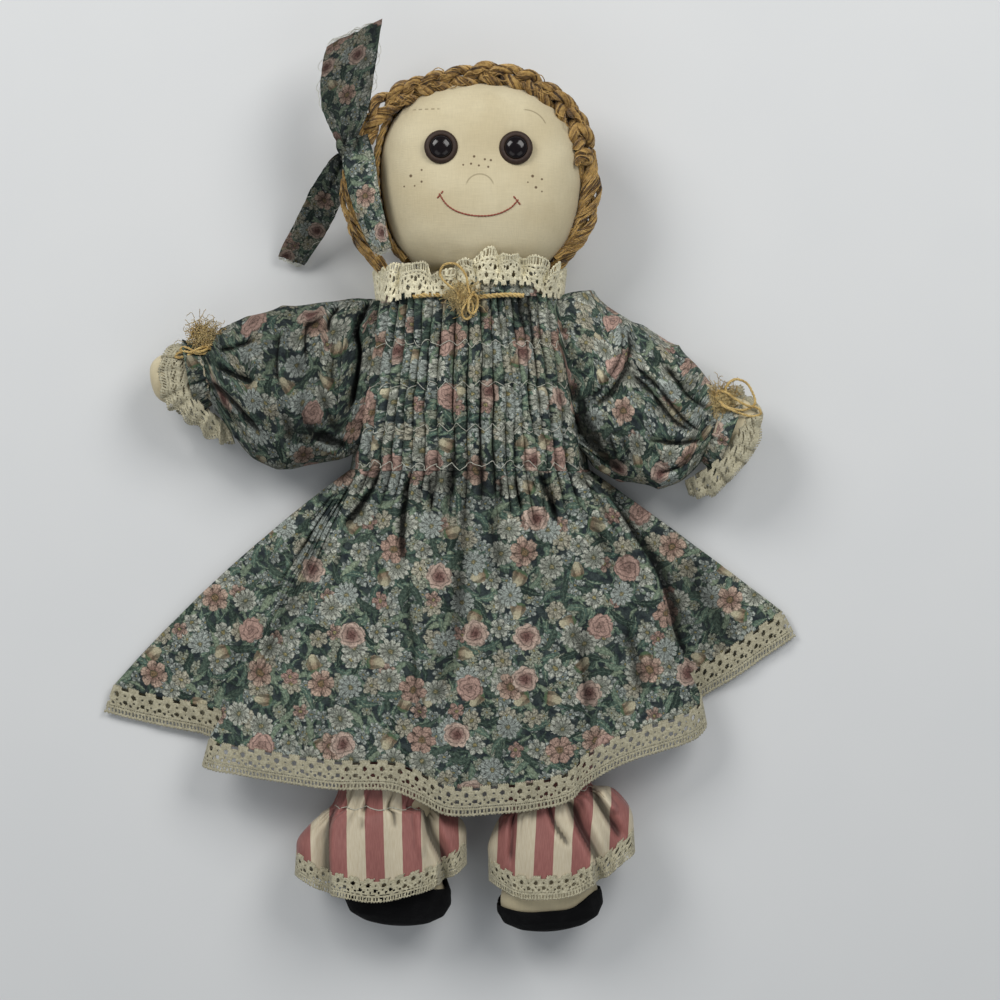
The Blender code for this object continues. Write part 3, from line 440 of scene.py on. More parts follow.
def calico(name="calico", face=False):
    """Unbleached cotton with slubs in its threads. The face has its drawn and dyed marks."""
    made = Finish(name)
    place = made.object_mm()
    x, y, z = made.split(place)
    warp = made.noise(made.node("ShaderNodeCombineXYZ", (), {0: x * 2.6, 1: y * 0.16, 2: z}), 1.0, 3.0)
    weft = made.noise(made.node("ShaderNodeCombineXYZ", (), {0: x * 0.16, 1: y * 2.6, 2: z}), 1.0, 3.0)
    threads = warp + weft
    stain = made.noise(place, 0.045, 3.0)
    colour = made.mix((0.640, 0.565, 0.385), (0.560, 0.480, 0.310), stain.rise(0.30, 0.75))
    colour = made.tint(colour, threads * 0.16 + 0.84)
    if face:
        colour = paint_face(made, colour, x, y, z)
    made.set(Base_Color=colour, Roughness=threads * 0.08 + 0.80, Specular_IOR_Level=0.2)
    made.set(Sheen_Weight=0.12)
    made.bump(threads, 0.00012, 0.7)
    return made.material


FRECKLES = (
    (-22.3, 84.6, 0.62), (-18.1, 86.7, 0.42), (-18.1, 82.2, 0.46), (-20.8, 80.7, 0.36), (-24.9, 80.7, 0.36),
    (-2.1, 88.4, 0.40), (0.9, 88.8, 0.46), (2.1, 91.6, 0.52), (3.9, 88.1, 0.44), (6.2, 90.5, 0.46),
    (8.5, 90.2, 0.48), (7.5, 87.6, 0.44),
    (24.5, 84.3, 0.60), (28.1, 83.2, 0.44), (22.7, 81.9, 0.34), (25.8, 80.0, 0.56), (28.1, 78.5, 0.34),
)


def paint_face(made, colour, x, y, z):
    """Freckles, brows and the line of the nose, inked on the front of the head."""
    front = z.rise(38.0, 42.0)
    ink = None
    for at_x, at_y, radius in FRECKLES:
        dot = (((x - at_x) ** 2.0 + (y - at_y) ** 2.0) ** 0.5).rise(radius * 1.25, radius * 0.6)
        ink = dot if ink is None else ink.most(dot)
    colour = made.mix(colour, (0.085, 0.045, 0.022), ink * front * 0.88)
    # The nose: an arc of a circle, faint at its ends.
    ring = abs(((x - 4.3) ** 2.0 + (y - 79.4) ** 2.0) ** 0.5 - 5.4).rise(0.42, 0.12)
    nose = ring * y.rise(80.2, 82.0)
    brow = abs(y - 110.3 + x * 0.02).rise(0.40, 0.10) * x.rise(-23.0, -21.0) * x.rise(-10.5, -12.0)
    dashes = (x * 2.6).sine().rise(-0.5, 0.1)
    other = abs(((x - 21.5) ** 2.0 + (y - 101.5) ** 2.0) ** 0.5 - 8.8).rise(0.38, 0.10)
    other = other * x.rise(20.6, 22.0) * y.rise(104.6, 105.6)
    line = (nose * 0.42).most(brow * dashes * 0.55).most(other * 0.48) * front
    return made.mix(colour, (0.10, 0.065, 0.030), line)


def lace_cotton(name="cotton_lace", tone=1.0):
    made = Finish(name)
    place = made.object_mm()
    grain = made.noise(place, 1.6, 3.0)
    knots = made.noise(place, 0.5, 2.0)
    colour = made.mix((0.385, 0.350, 0.235), (0.56, 0.525, 0.385), grain.rise(0.3, 0.7))
    colour = made.tint(colour, (knots.rise(0.2, 0.8) * 0.30 + 0.72) * tone)
    made.set(Base_Color=colour, Roughness=grain * 0.1 + 0.82, Specular_IOR_Level=0.2, Sheen_Weight=0.2)
    made.bump(grain, 0.00025, 1.0)
    return made.material


def yarn(name, dark, middle, bright, grain=2.2):
    """Combed fibre: many fine strands of changing tone, shaded across and along."""
    made = Finish(name)
    place = made.object_mm()
    patches = made.noise(place, 0.22, 2.0, 0.5)
    fibres = made.noise(place, grain * 0.5, 2.0, 0.6)
    strand = made.node("ShaderNodeAttribute", {"attribute_name": "strand"}, out=2)
    mixed = patches * 0.44 + strand * 0.30 + fibres * 0.26
    colour = made.node(
        "ShaderNodeValToRGB", {"stops": [(0.35, dark), (0.50, middle), (0.67, bright)]}, {0: mixed}
    )
    made.set(Base_Color=colour, Roughness=fibres * 0.15 + 0.48, Specular_IOR_Level=0.4)
    made.set(Sheen_Weight=0.3, Sheen_Roughness=0.4)
    made.bump(fibres, 0.0002, 0.8)
    return made.material


def thread(name, colour, other):
    made = Finish(name)
    twist = made.noise(made.object_mm(), 2.5, 2.0)
    made.set(Base_Color=made.mix(colour, other, twist.rise(0.3, 0.7)), Roughness=twist * 0.1 + 0.6)
    made.bump(twist, 0.00008)
    return made.material


def striped_cotton():
    """Rose and cream stripes down the cloth, with a fine weave, a satin light and painted shade in its
    folds.
    """
    made = Finish("striped_cotton")
    place = made.cloth_mm()
    x, y, _ = made.split(place)
    wobble = made.noise(place, 0.06, 2.0)
    across = ((x + (wobble - 0.5) * 0.7) / 14.4 + 0.2585).part()
    rose = across.rise(0.0, 0.012) * across.rise(0.517, 0.505)
    streak = made.noise(made.node("ShaderNodeCombineXYZ", (), {0: x * 3.0, 1: y * 0.25}), 1.0, 3.0)
    pale = made.mix((0.56, 0.50, 0.375), (0.49, 0.42, 0.295), streak.rise(0.3, 0.7))
    pink = made.mix((0.300, 0.118, 0.102), (0.240, 0.086, 0.076), streak.rise(0.3, 0.7))
    # Painted shade from the fold attribute: darker in hollows and creases, a little lighter, a painted
    # highlight, on crests.
    fold = made.node("ShaderNodeAttribute", {"attribute_name": "fold"}, out=2)
    wear_and_painted_shade = (fold.rise(0.0, 1.0) * -0.70 + 1.0) * (fold.rise(0.0, -0.9) * 0.12 + 1.0)
    made.set(Base_Color=made.tint(made.mix(pale, pink, rose), wear_and_painted_shade), Roughness=streak * 0.15 + 0.50)
    made.set(Specular_IOR_Level=0.35, Sheen_Weight=0.15)
    made.bump(streak, 0.0001, 0.7)
    return made.material


def black_felt():
    made = Finish("black_felt")
    place = made.object_mm()
    fuzz = made.noise(place, 2.4, 4.0, 0.7)
    wear_and_painted_shade = made.noise(place, 0.12, 2.0)
    colour = made.mix((0.0035, 0.0035, 0.004), (0.012, 0.012, 0.013), (fuzz * wear_and_painted_shade).rise(0.2, 0.5))
    made.set(Base_Color=colour, Roughness=fuzz * 0.1 + 0.88, Specular_IOR_Level=0.15)
    made.bump(fuzz, 0.00022, 1.0)
    return made.material


def eye_plastic(name, colour, other, gloss):
    made = Finish(name)
    cloud = made.noise(made.object_mm(), 0.9, 2.0)
    made.set(Base_Color=made.mix(colour, other, cloud.rise(0.3, 0.7)), Roughness=cloud * 0.05 + gloss)
    made.set(Specular_IOR_Level=0.42)
    made.bump(cloud, 0.00004, 0.5)
    return made.material


def pale_floor():
    made = Finish("pale_floor")
    grain = made.noise(made.object_mm(), 0.02, 2.0)
    made.set(Base_Color=made.mix((0.70, 0.715, 0.725), (0.73, 0.74, 0.745), grain), Roughness=0.7)
    made.set(Specular_IOR_Level=0.2)
    return made.material


FLORAL = floral_cotton(tone=1.10)
# A darker copy of the print for the bow's upper and outer tails and its knot: painted shade.
BOW_FLORAL = floral_cotton("floral_cotton_bow", 0.45)
# Copies of the print for the sleeves and their casings: the right one darker, painted shade, the left one
# near the dress's own tone.
SLEEVE_FLORAL = {
    "right": floral_cotton("floral_cotton_right", 0.70), "left": floral_cotton("floral_cotton_left", 1.08),
}
CALICO = calico()
FACE = calico("calico_face", face=True)
LACE = lace_cotton()
PALE_LACE = lace_cotton("pale_lace", 1.82)
HAIR = yarn("hair_yarn", (0.040, 0.019, 0.004), (0.205, 0.110, 0.026), (0.55, 0.35, 0.11))
GOLD = yarn("gold_yarn", (0.20, 0.11, 0.020), (0.42, 0.27, 0.075), (0.68, 0.50, 0.20), 3.0)
# A lighter copy of the gold yarn for the loose fibres: painted light against the shade that the clumps cast
# on themselves.
TUFT = yarn("gold_fibres", (0.34, 0.20, 0.050), (0.62, 0.42, 0.14), (0.80, 0.64, 0.30), 3.0)
CREAM_YARN = yarn("cream_yarn", (0.28, 0.22, 0.12), (0.46, 0.40, 0.27), (0.60, 0.54, 0.40), 3.0)
PALE_THREAD = thread("pale_thread", (0.62, 0.62, 0.54), (0.50, 0.50, 0.42))
MOUTH_THREAD = thread("mouth_thread", (0.22, 0.042, 0.026), (0.30, 0.075, 0.045))
STRIPES = striped_cotton()
FELT = black_felt()
EYE_DOME = eye_plastic("eye_dome", (0.0035, 0.0018, 0.0022), (0.007, 0.0035, 0.004), 0.10)
EYE_RIM = eye_plastic("eye_rim", (0.022, 0.010, 0.006), (0.040, 0.020, 0.011), 0.55)


def make_floor():
    mesh = bpy.data.meshes.new("floor")
    half = 2.5
    corners = [(-half, -half, 0), (half, -half, 0), (half, half, 0), (-half, half, 0)]
    mesh.from_pydata(corners, [], [(0, 1, 2, 3)])
    floor = bpy.data.objects.new("floor", mesh)
    floor.location.z = -0.0004
    mesh.materials.append(pale_floor())
    bpy.context.scene.collection.objects.link(floor)


# ---------------------------------------------------------------- making pieces
def waver(x, y=0.0, seed=0.0):
    """Smooth noise from -1 to 1 with one hill or hollow to each unit."""
    x, y = np.broadcast_arrays(np.asarray(x, float), np.asarray(y, float))
    cell_x, cell_y = np.floor(x), np.floor(y)
    part_x, part_y = x - cell_x, y - cell_y
    part_x, part_y = (p * p * (3 - 2 * p) for p in (part_x, part_y))

    def corner(i, j):
        mixed = np.sin((cell_x + i) * 127.1 + (cell_y + j) * 311.7 + seed * 74.7) * 43758.5453
        return 2 * (mixed - np.floor(mixed)) - 1

    low = corner(0, 0) * (1 - part_x) + corner(1, 0) * part_x
    high = corner(0, 1) * (1 - part_x) + corner(1, 1) * part_x
    return low * (1 - part_y) + high * part_y


def ease(value, low, high):
    part = np.clip((np.asarray(value, float) - low) / (high - low), 0, 1)
    return part * part * (3 - 2 * part)


def through(rows, where):
    """Rows of a smooth curve through a table, at places counted in rows."""
    rows = np.asarray(rows, float)
    where = np.clip(np.asarray(where, float), 0, len(rows) - 1)
    low = np.minimum(where.astype(int), len(rows) - 2)
    part = (where - low).reshape(where.shape + (1,) * (rows.ndim - 1))
    a, b, c, d = (rows[np.clip(low + k, 0, len(rows) - 1)] for k in (-1, 0, 1, 2))
    return 0.5 * (
        2 * b + (c - a) * part + (2 * a - 5 * b + 4 * c - d) * part**2
        + (3 * b - a - 3 * c + d) * part**3
    )


def distances(rows):
    """How far along a line of points each of them is."""
    return np.concatenate([[0], np.cumsum(np.linalg.norm(np.diff(rows, axis=0), axis=1))])


def rounded(value, power):
    """A power that keeps the sign, which squares off a sine or a cosine."""
    return np.sign(value) * np.abs(value) ** power


def zigzag(phase):
    """A wave of straight lines from -1 to 1."""
    return (2 / math.pi) * np.arcsin(np.sin(phase))


def evenly(rows, count):
    """The curve through the rows, cut into even lengths."""
    rows = np.asarray(rows, float)
    fine = through(rows, np.linspace(0, len(rows) - 1, 30 * len(rows)))
    walked = distances(fine)
    at = np.linspace(0, walked[-1], count)
    return np.stack([np.interp(at, walked, fine[:, k]) for k in range(rows.shape[1])], axis=1)


def length_of(rows):
    return float(np.linalg.norm(np.diff(np.asarray(rows, float), axis=0), axis=1).sum())


def add_piece(name, mesh, *materials):
    piece = bpy.data.objects.new(name, mesh)
    for material in materials:
        mesh.materials.append(material)
    bpy.context.scene.collection.objects.link(piece)
    return piece


def settle(piece, slot, body, *nodes):
    """The finish slot of a piece, which is not used, the body that carries it and the nodes that it
    replaces.
    """
    if nodes:
        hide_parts(*nodes)
    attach(piece, body)


def settle_padded(piece, fill, body, *nodes):
    """The same for a stuffed bag of calico."""
    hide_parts(*nodes)
    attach(piece, body)


def thicken(piece, wall, offset=0):
    """Gives a surface its cloth's thickness in millimetres."""
    thick = piece.modifiers.new("wall", "SOLIDIFY")
    thick.thickness = wall * MM
    thick.offset = offset


def weld(piece, distance, turn_out=False):
    """Merges points that lie nearly together. turn_out makes the faces look outward."""
    mesh = bmesh.new()
    mesh.from_mesh(piece.data)
    bmesh.ops.remove_doubles(mesh, verts=mesh.verts, dist=distance)
    if turn_out:
        bmesh.ops.recalc_face_normals(mesh, faces=mesh.faces)
    mesh.to_mesh(piece.data)
    mesh.free()


def hollows(points, rows, columns, round_=False):
    """How deep each point lies under the mean height of those round it, from -1 to 1."""
    mean = points[..., 2]
    for axis, n in ((0, rows), (1, columns)):
        kernel = np.hanning(2 * n + 3)[1:-1]
        kernel /= kernel.sum()
        width = [(0, 0), (0, 0)]
        width[axis] = (n, n)
        padded = np.pad(mean, width, mode="wrap" if round_ and axis == 1 else "edge")
        mean = np.apply_along_axis(np.convolve, axis, padded, kernel, "valid")
    return np.clip((mean - points[..., 2]) / 1.5, -1, 1)


def grid_piece(
    name, points, material, flat=None, round_=False, middle=None, wall=None, shade=None
):
    """A piece from rows and columns of points. flat has each point's place on the flat cloth.

    round_ joins the last column to the first, and then flat has one column more. Faces turn
    away from middle. wall is the thickness of the cloth.
    """
    rows, columns = points.shape[:2]
    last = columns if round_ else columns - 1
    i, j = np.meshgrid(np.arange(rows - 1), np.arange(last), indexing="ij")
    beside = (j + 1) % columns
    quads = np.stack(
        [i * columns + j, i * columns + beside, (i + 1) * columns + beside, (i + 1) * columns + j],
        axis=-1,
    ).reshape(-1, 4)
    corners = [(i, j), (i, j + 1), (i + 1, j + 1), (i + 1, j)]
    places = points.reshape(-1, 3) * MM
    if middle is not None:
        a, b, c, d = (places[quads[:, k]] for k in range(4))
        normals = np.cross(c - a, d - b)
        centre = (a + b + c + d) / 4 - np.asarray(middle) * MM
        if (normals * centre).sum() < 0:
            quads = quads[:, ::-1]
            corners = corners[::-1]
    mesh = bpy.data.meshes.new(name)
    mesh.from_pydata(places.tolist(), [], quads.tolist())
    if flat is not None:
        layer = mesh.uv_layers.new(name="cloth")
        spread = np.stack([flat[r, c] for r, c in corners], axis=-2).reshape(-1, 2) * MM
        layer.data.foreach_set("uv", spread.astype(np.float32).ravel())
    # shade is painted shade for each point, kept as the fold attribute: above 0 the cloth is drawn darker,
    # below 0 lighter as a painted highlight.
    if shade is not None:
        fold = mesh.attributes.new("fold", "FLOAT", "POINT")
        fold.data.foreach_set("value", shade.astype(np.float32).ravel())
    mesh.shade_smooth()
    piece = add_piece(name, mesh, material)
    if wall:
        thicken(piece, wall)
    return piece


def flat_of(points, round_=False):
    """Places on the flat cloth: along each row from its middle, and down the middle column."""
    loop = np.concatenate([points, points[:, :1]], axis=1) if round_ else points
    steps = np.linalg.norm(np.diff(loop, axis=1), axis=2)
    across = np.concatenate([np.zeros((len(loop), 1)), np.cumsum(steps, axis=1)], axis=1)
    across -= across[:, across.shape[1] // 2][:, None]
    drops = np.linalg.norm(np.diff(loop, axis=0), axis=2).mean(axis=1)
    down = np.concatenate([[0], np.cumsum(drops)])
    return np.stack([across, np.broadcast_to(-down[:, None], across.shape)], axis=2)


def curve_of(name, lines, tapers=None):
    """A curve object with one open poly spline for each line of points."""
    curve = bpy.data.curves.new(name, "CURVE")
    curve.dimensions = "3D"
    for number, points in enumerate(lines):
        spline = curve.splines.new("POLY")
        spline.points.add(len(points) - 1)
        places = np.concatenate([np.asarray(points) * MM, np.ones((len(points), 1))], axis=1)
        spline.points.foreach_set("co", places.ravel())
        taper = np.ones(len(points)) if tapers is None else tapers[number]
        spline.points.foreach_set("radius", np.asarray(taper, float))
    made = bpy.data.objects.new(name, curve)
    bpy.context.scene.collection.objects.link(made)
    return made


class Pattern(Nodes):
    """A Geometry Nodes tree with named inputs for its sizes."""

    def __init__(self, name, sizes):
        super().__init__(bpy.data.node_groups.new(name, "GeometryNodeTree"))
        self.sockets = {}
        self.tree.interface.new_socket("Geometry", in_out="INPUT", socket_type="NodeSocketGeometry")
        for label, kind in sizes:
            made = self.tree.interface.new_socket(label, in_out="INPUT", socket_type=f"NodeSocket{kind}")
            self.sockets[label] = made.identifier
        self.tree.interface.new_socket("Geometry", in_out="OUTPUT", socket_type="NodeSocketGeometry")
        given = self.tree.nodes.new("NodeGroupInput")
        self.given = {s.name: Value(self, s) for s in given.outputs if s.name}

    def end(self, geometry):
        whole = self.node("GeometryNodeRealizeInstances", (), {0: geometry})
        smooth = self.node("GeometryNodeSetShadeSmooth", (), {0: whole})
        painted = self.node("GeometryNodeSetMaterial", (), {0: smooth, "Material": self.given["Finish"]})
        self.tree.links.new(painted.socket, self.tree.nodes.new("NodeGroupOutput").inputs[0])
        return self

    def grow(self, name, base, **sizes):
        """The tree's plain mesh on a base object, which goes."""
        modifier = base.modifiers.new("pattern", "NODES")
        modifier.node_group = self.tree
        for label, value in sizes.items():
            modifier[self.sockets[label.replace("_", " ")]] = value
        graph = bpy.context.evaluated_depsgraph_get()
        mesh = bpy.data.meshes.new_from_object(base.evaluated_get(graph))
        modifier.node_group = None
        data = base.data
        bpy.data.objects.remove(base)
        (bpy.data.curves if isinstance(data, bpy.types.Curve) else bpy.data.meshes).remove(data)
        mesh.name = name
        return add_piece(name, mesh)


def yarn_pattern():
    """Plies laid round a curve and twisted along it."""
    made = Pattern("twisted yarn", [
        ("Plies", "Int"), ("Ply radius", "Float"), ("Spread", "Float"), ("Turns per metre", "Float"),
        ("Sides", "Int"), ("Fuzz", "Float"), ("Finish", "Material"),
    ])
    given = made.given
    along = made.node("GeometryNodeSplineParameter", out="Length")
    tilted = made.node(
        "GeometryNodeSetCurveTilt", (),
        {"Curve": given["Geometry"], "Tilt": along * given["Turns per metre"] * TAU},
    )
    circle = "GeometryNodeCurvePrimitiveCircle"
    ring = made.node(circle, (), {"Resolution": given["Plies"], "Radius": given["Spread"]})
    dots = made.node("GeometryNodeCurveToPoints", {"mode": "EVALUATED"}, {0: ring})
    ply = made.node(circle, (), {"Resolution": given["Sides"], "Radius": given["Ply radius"]})
    tone = made.node("FunctionNodeRandomValue", {"data_type": "FLOAT"}, {"Seed": 3}, out=1)
    toned = made.node(
        "GeometryNodeStoreNamedAttribute", {"data_type": "FLOAT", "domain": "POINT"},
        {0: dots, "Name": "strand", "Value": tone},
    )
    profile = made.node("GeometryNodeRealizeInstances", (), {
        0: made.node("GeometryNodeInstanceOnPoints", (), {"Points": toned, "Instance": ply})
    })
    skin = made.node(
        "GeometryNodeCurveToMesh", (),
        {"Curve": tilted, "Profile Curve": profile, "Fill Caps": True},
    )
    place = made.node("GeometryNodeInputPosition")
    push = made.node(
        "ShaderNodeTexNoise", (), {"Vector": place, "Scale": 900.0, "Detail": 2.0}, out="Color"
    )
    push = made.vector("SUBTRACT", push, (0.5, 0.5, 0.5))
    amount = made.node("ShaderNodeCombineXYZ", (), {k: given["Fuzz"] for k in range(3)})
    offset = made.vector("MULTIPLY", push, amount)
    ruffled = made.node("GeometryNodeSetPosition", (), {0: skin, "Offset": offset})
    return made.end(ruffled)


def stitch_pattern():
    """Short rounded stitches laid end to end on a curve."""
    made = Pattern("stitches", [
        ("Pitch", "Float"), ("Stitch length", "Float"), ("Thread radius", "Float"), ("Finish", "Material"),
    ])
    given = made.given
    dots = made.node(
        "GeometryNodeCurveToPoints", {"mode": "LENGTH"},
        {0: given["Geometry"], "Length": given["Pitch"]}, out=None,
    )
    turn = made.node(
        "FunctionNodeAlignRotationToVector", {"axis": "Z"}, {"Vector": Value(made, dots.outputs["Tangent"])}
    )
    bead = made.node("GeometryNodeMeshUVSphere", (), {"Segments": 7, "Rings": 6, "Radius": 1.0})
    shape = made.node(
        "ShaderNodeCombineXYZ", (),
        {0: given["Thread radius"], 1: given["Thread radius"], 2: given["Stitch length"] * 0.5},
    )
    laid = made.node("GeometryNodeInstanceOnPoints", (), {
        "Points": Value(made, dots.outputs["Points"]), "Instance": bead, "Rotation": turn, "Scale": shape,
    })
    return made.end(laid)


def lace_pattern():
    """Holes, slits and a scalloped edge cut in a fine grid whose flat places are stored on it."""
    made = Pattern("crochet lace", [
        ("Repeat", "Float"), ("Height", "Float"), ("Finish", "Material"),
    ])
    given = made.given
    flat = made.node("GeometryNodeInputNamedAttribute", {"data_type": "FLOAT_VECTOR"}, {"Name": "cloth"})
    x, y, _ = made.split(flat)
    s = (x / given["Repeat"]).part()
    t = (-y) / given["Height"] * 12.0

    def hole(at_s, at_t, half_s, half_t):
        return (((s - at_s) * (7.1 / half_s)) ** 2.0 + ((t - at_t) * (1 / half_t)) ** 2.0) < 1.0

    gone = hole(0.39, 3.6, 0.98, 1.00)
    for spot in ((0.89, 3.7, 0.42, 0.40), (0.89, 6.3, 1.02, 0.86), (0.17, 7.1, 0.55, 0.60),
                 (0.61, 7.1, 0.55, 0.60), (0.39, 5.9, 0.36, 0.36), (0.0, 1.9, 0.30, 0.30)):
        gone = gone.most(hole(*spot))
    fine = (s * 5.0).part()
    rungs = (fine > 0.28) * (fine < 0.72)
    ladder = rungs * (t > 9.5) * (t < 11.1)
    slit = ((s * 10.0).part() > 0.45) * (t > 8.45) * (t < 8.75)
    teeth = (t < ((s * 10.0).part() > 0.5) * 0.45)
    gap = (t < 1.65) * ((s < 0.10).most(s > 0.70))
    edge = (t > 12.0 - ((s * 5.0).part() > 0.5) * 0.25)
    gone = gone.most(ladder).most(slit).most(teeth).most(gap).most(edge)
    cut = made.node(
        "GeometryNodeDeleteGeometry", {"domain": "FACE", "mode": "ALL"},
        {0: given["Geometry"], "Selection": gone > 0.5},
    )
    return made.end(cut)


YARN = yarn_pattern()
STITCHES = stitch_pattern()
LACE_CUT = lace_pattern()


def make_yarn(name, lines, material, plies, ply, spread, turns, sides=5, fuzz=0.0, tapers=None):
    """Twisted yarn along lines of points. Radii are in millimetres, and turns are to a metre."""
    return YARN.grow(
        name, curve_of(name + "_line", lines, tapers), Plies=plies, Ply_radius=ply * MM,
        Spread=spread * MM, Turns_per_metre=float(turns), Sides=sides, Fuzz=fuzz * MM, Finish=material,
    )


def make_lace(name, points, repeat=7.1, height=12.0, wall=0.55, flat=None, material=LACE):
    """A lace band from rows of points that run down from its sewn edge."""
    base = grid_piece(name + "_base", points, material, flat_of(points) if flat is None else flat)
    piece = LACE_CUT.grow(name, base, Repeat=repeat * MM, Height=height * MM, Finish=material)
    thicken(piece, wall)
    return piece


# ---------------------------------------------------------------- dress
BODICE_TOP, WAIST = 40.0, -28.0
SEAM_Z, FRONT_Z = 12.0, 44.0
SQUARENESS = 2.8
# Where the grooves between the pleats cross the middle of the bodice, from right arm to left.
GROOVES = np.array([
    -40.4, -36.6, -32.8, -28.2, -24.4, -21.2, -16.6, -12.4, -6.2, -0.8, 5.0, 9.4, 13.2, 16.2,
    19.4, 23.6, 27.4, 31.0, 35.2, 39.2,
])
# Rows of gathering thread across the bodice, and how deep its pleats are.
SHIRRING = (20.8, 4.3, -12.3, -26.6)
PLEAT_DEPTH = 4.8


def drawn_folds(points, folds):
    """Lift of the cloth along drawn lines, seen from the front.

    Each fold has its height, how far it reaches to the left and to the right of the way its line
    runs, and then x and y of the line's points.
    """
    x, y = points[..., 0], points[..., 1]
    lift = np.zeros(x.shape)
    for height, left, right, *line in folds:
        line = evenly(np.reshape(line, (-1, 2)), 24)
        nearest = np.full(lift.shape, 1e9)
        signed, part = np.zeros(lift.shape), np.zeros(lift.shape)
        for k in range(len(line) - 1):
            step = line[k + 1] - line[k]
            t = np.clip(((x - line[k, 0]) * step[0] + (y - line[k, 1]) * step[1]) / (step @ step), 0, 1)
            off_x, off_y = x - line[k, 0] - step[0] * t, y - line[k, 1] - step[1] * t
            away = np.hypot(off_x, off_y)
            closer = away < nearest
            nearest = np.where(closer, away, nearest)
            signed = np.where(closer, away * np.sign(step[0] * off_y - step[1] * off_x), signed)
            part = np.where(closer, (k + t) / (len(line) - 1), part)
        reach = np.where(signed > 0, left, right)
        shape = 0.5 + 0.5 * np.cos(np.pi * np.clip(nearest / reach, 0, 1))
        lift = lift + height * shape * ease(part, 0, 0.22) * ease(part, 1, 0.72)
    return lift


def half_width(y):
    part = (BODICE_TOP - np.asarray(y, float)) / 67.5
    return 36.0 + 11.0 * np.clip(part, -0.05, 1.2)


def section(angle, y, grow=0.0):
    """A point of the dress round the body. Angle 0 is the left seam and a quarter turn the front."""
    cosine, sine = np.cos(angle), np.sin(angle)
    across, upward = rounded(cosine, 2 / SQUARENESS), rounded(sine, 2 / SQUARENESS)
    x = (half_width(y) + grow) * across
    front = SEAM_Z + (FRONT_Z - SEAM_Z + grow) * upward
    back = np.maximum(SEAM_Z * (1 + upward * 1.06), 0.4)
    return np.stack(np.broadcast_arrays(x, y, np.where(upward >= 0, front, back)), axis=-1)


def section_angles(first, last, count):
    """Angles that cut the dress section into even lengths of cloth."""
    fine = np.linspace(first, last, 2001)
    points = section(fine, 6.0)
    walked = distances(points)
    return np.interp(np.linspace(0, walked[-1], count), walked, fine), walked[-1]


FRONT_ANGLES, FRONT_LENGTH = section_angles(math.pi, 0, 1001)


def front_angle(share):
    return np.interp(share, np.linspace(0, 1, len(FRONT_ANGLES)), FRONT_ANGLES)


def front_share(x):
    """How far round the bodice front, from 0 to 1, its middle section stands at x."""
    line = section(FRONT_ANGLES, 6.0)
    return np.interp(x, line[:, 0], np.linspace(0, 1, len(line)))


GROOVE_SHARES = front_share(GROOVES)


def pleat(share, y):
    """The height of the pleats over the cloth's own line, from 0 in a groove to 1 on a crown."""
    drift = 0.0085 * waver(share * 13, y * 0.050, 3) + 0.0026 * waver(share * 40, y * 0.16, 5)
    place = share + drift
    k = np.clip(np.searchsorted(GROOVE_SHARES, place), 1, len(GROOVE_SHARES) - 1)
    low, high = GROOVE_SHARES[k - 1], GROOVE_SHARES[k]
    part = np.clip((place - low) / (high - low), 0, 1)
    crown = 1 - np.abs(2 * part - 1) ** 2.3
    size = 0.74 + 0.34 * waver(k * 0.37, y * 0.030, 9)
    inside = ease(place, GROOVE_SHARES[0] - 0.01, GROOVE_SHARES[0] + 0.01)
    inside = inside * ease(place, GROOVE_SHARES[-1] + 0.01, GROOVE_SHARES[-1] - 0.01)
    hang = ease(part, 0.55, 0.88) * ease(part, 1.0, 0.93) * inside
    hang = hang * (0.6 + 0.6 * waver(k * 0.73, y * 0.05, 15))
    return crown * size * inside + 0.5 * (1 - inside), hang


def pleat_groove_shade(share, y):
    """Painted shade down in the grooves between the pleats: how dark the cloth is drawn there."""
    height, _ = pleat(share, y)
    return ease(height, 0.72, 0.22) * (0.86 + 0.34 * waver(share * 22, y * 0.06, 61))


def bodice_point(share, y, depth=PLEAT_DEPTH):
    """A point of the pleated front."""
    share, y = np.broadcast_arrays(np.asarray(share, float), np.asarray(y, float))
    angle = front_angle(share)
    height, hang = pleat(share, y)
    raised = (height - 0.80) * depth
    pinch = np.zeros_like(y)
    for row in SHIRRING:
        pinch = pinch + np.exp(-(((y - row) / 1.8) ** 2)) * 0.75
    edge = ease(share, 0.0, 0.07) * ease(share, 1.0, 0.93)
    top = ease(y, BODICE_TOP + 1, BODICE_TOP - 3)
    point = section(angle, y, (raised - pinch) * edge * (0.45 + 0.55 * top))
    point[..., 0] += hang * 1.5 * edge * (depth / PLEAT_DEPTH)
    return point


def make_bodice():
    share = np.linspace(0, 1, 421)[None, :]
    y = np.linspace(BODICE_TOP, WAIST - 0.8, 90)[:, None]
    points = bodice_point(share, y)
    flat = np.stack(np.broadcast_arrays((share - 0.5) * FRONT_LENGTH * 1.35, y + 0 * share), axis=2)
    # Painted shade: darker in the hollows and down in the grooves between the pleats.
    shade = np.clip(hollows(points, 3, 6) * 1.2, -0.8, 1)
    shade = np.maximum(shade, pleat_groove_shade(share, y))
    front = grid_piece("bodice_front_cloth", points, FLORAL, flat, middle=(0, 6, 20), wall=0.5, shade=shade)
    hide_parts("bodice_front")
    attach(front, "torso")

    angles, _ = section_angles(math.pi, TAU, 60)
    y = np.linspace(BODICE_TOP, WAIST - 0.8, 40)[:, None]
    points = section(angles[None, :], y)
    ripple = waver(np.linspace(0, 26, 60)[None, :], y * 0.05, 21)
    points[..., 2] += 0.35 + 0.35 * ripple * ease(points[..., 2], 11.0, 4.0)
    back = grid_piece("bodice_back_cloth", points, FLORAL, flat_of(points), middle=(0, 6, 20), wall=0.5)
    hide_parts("bodice_back")
    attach(back, "torso")


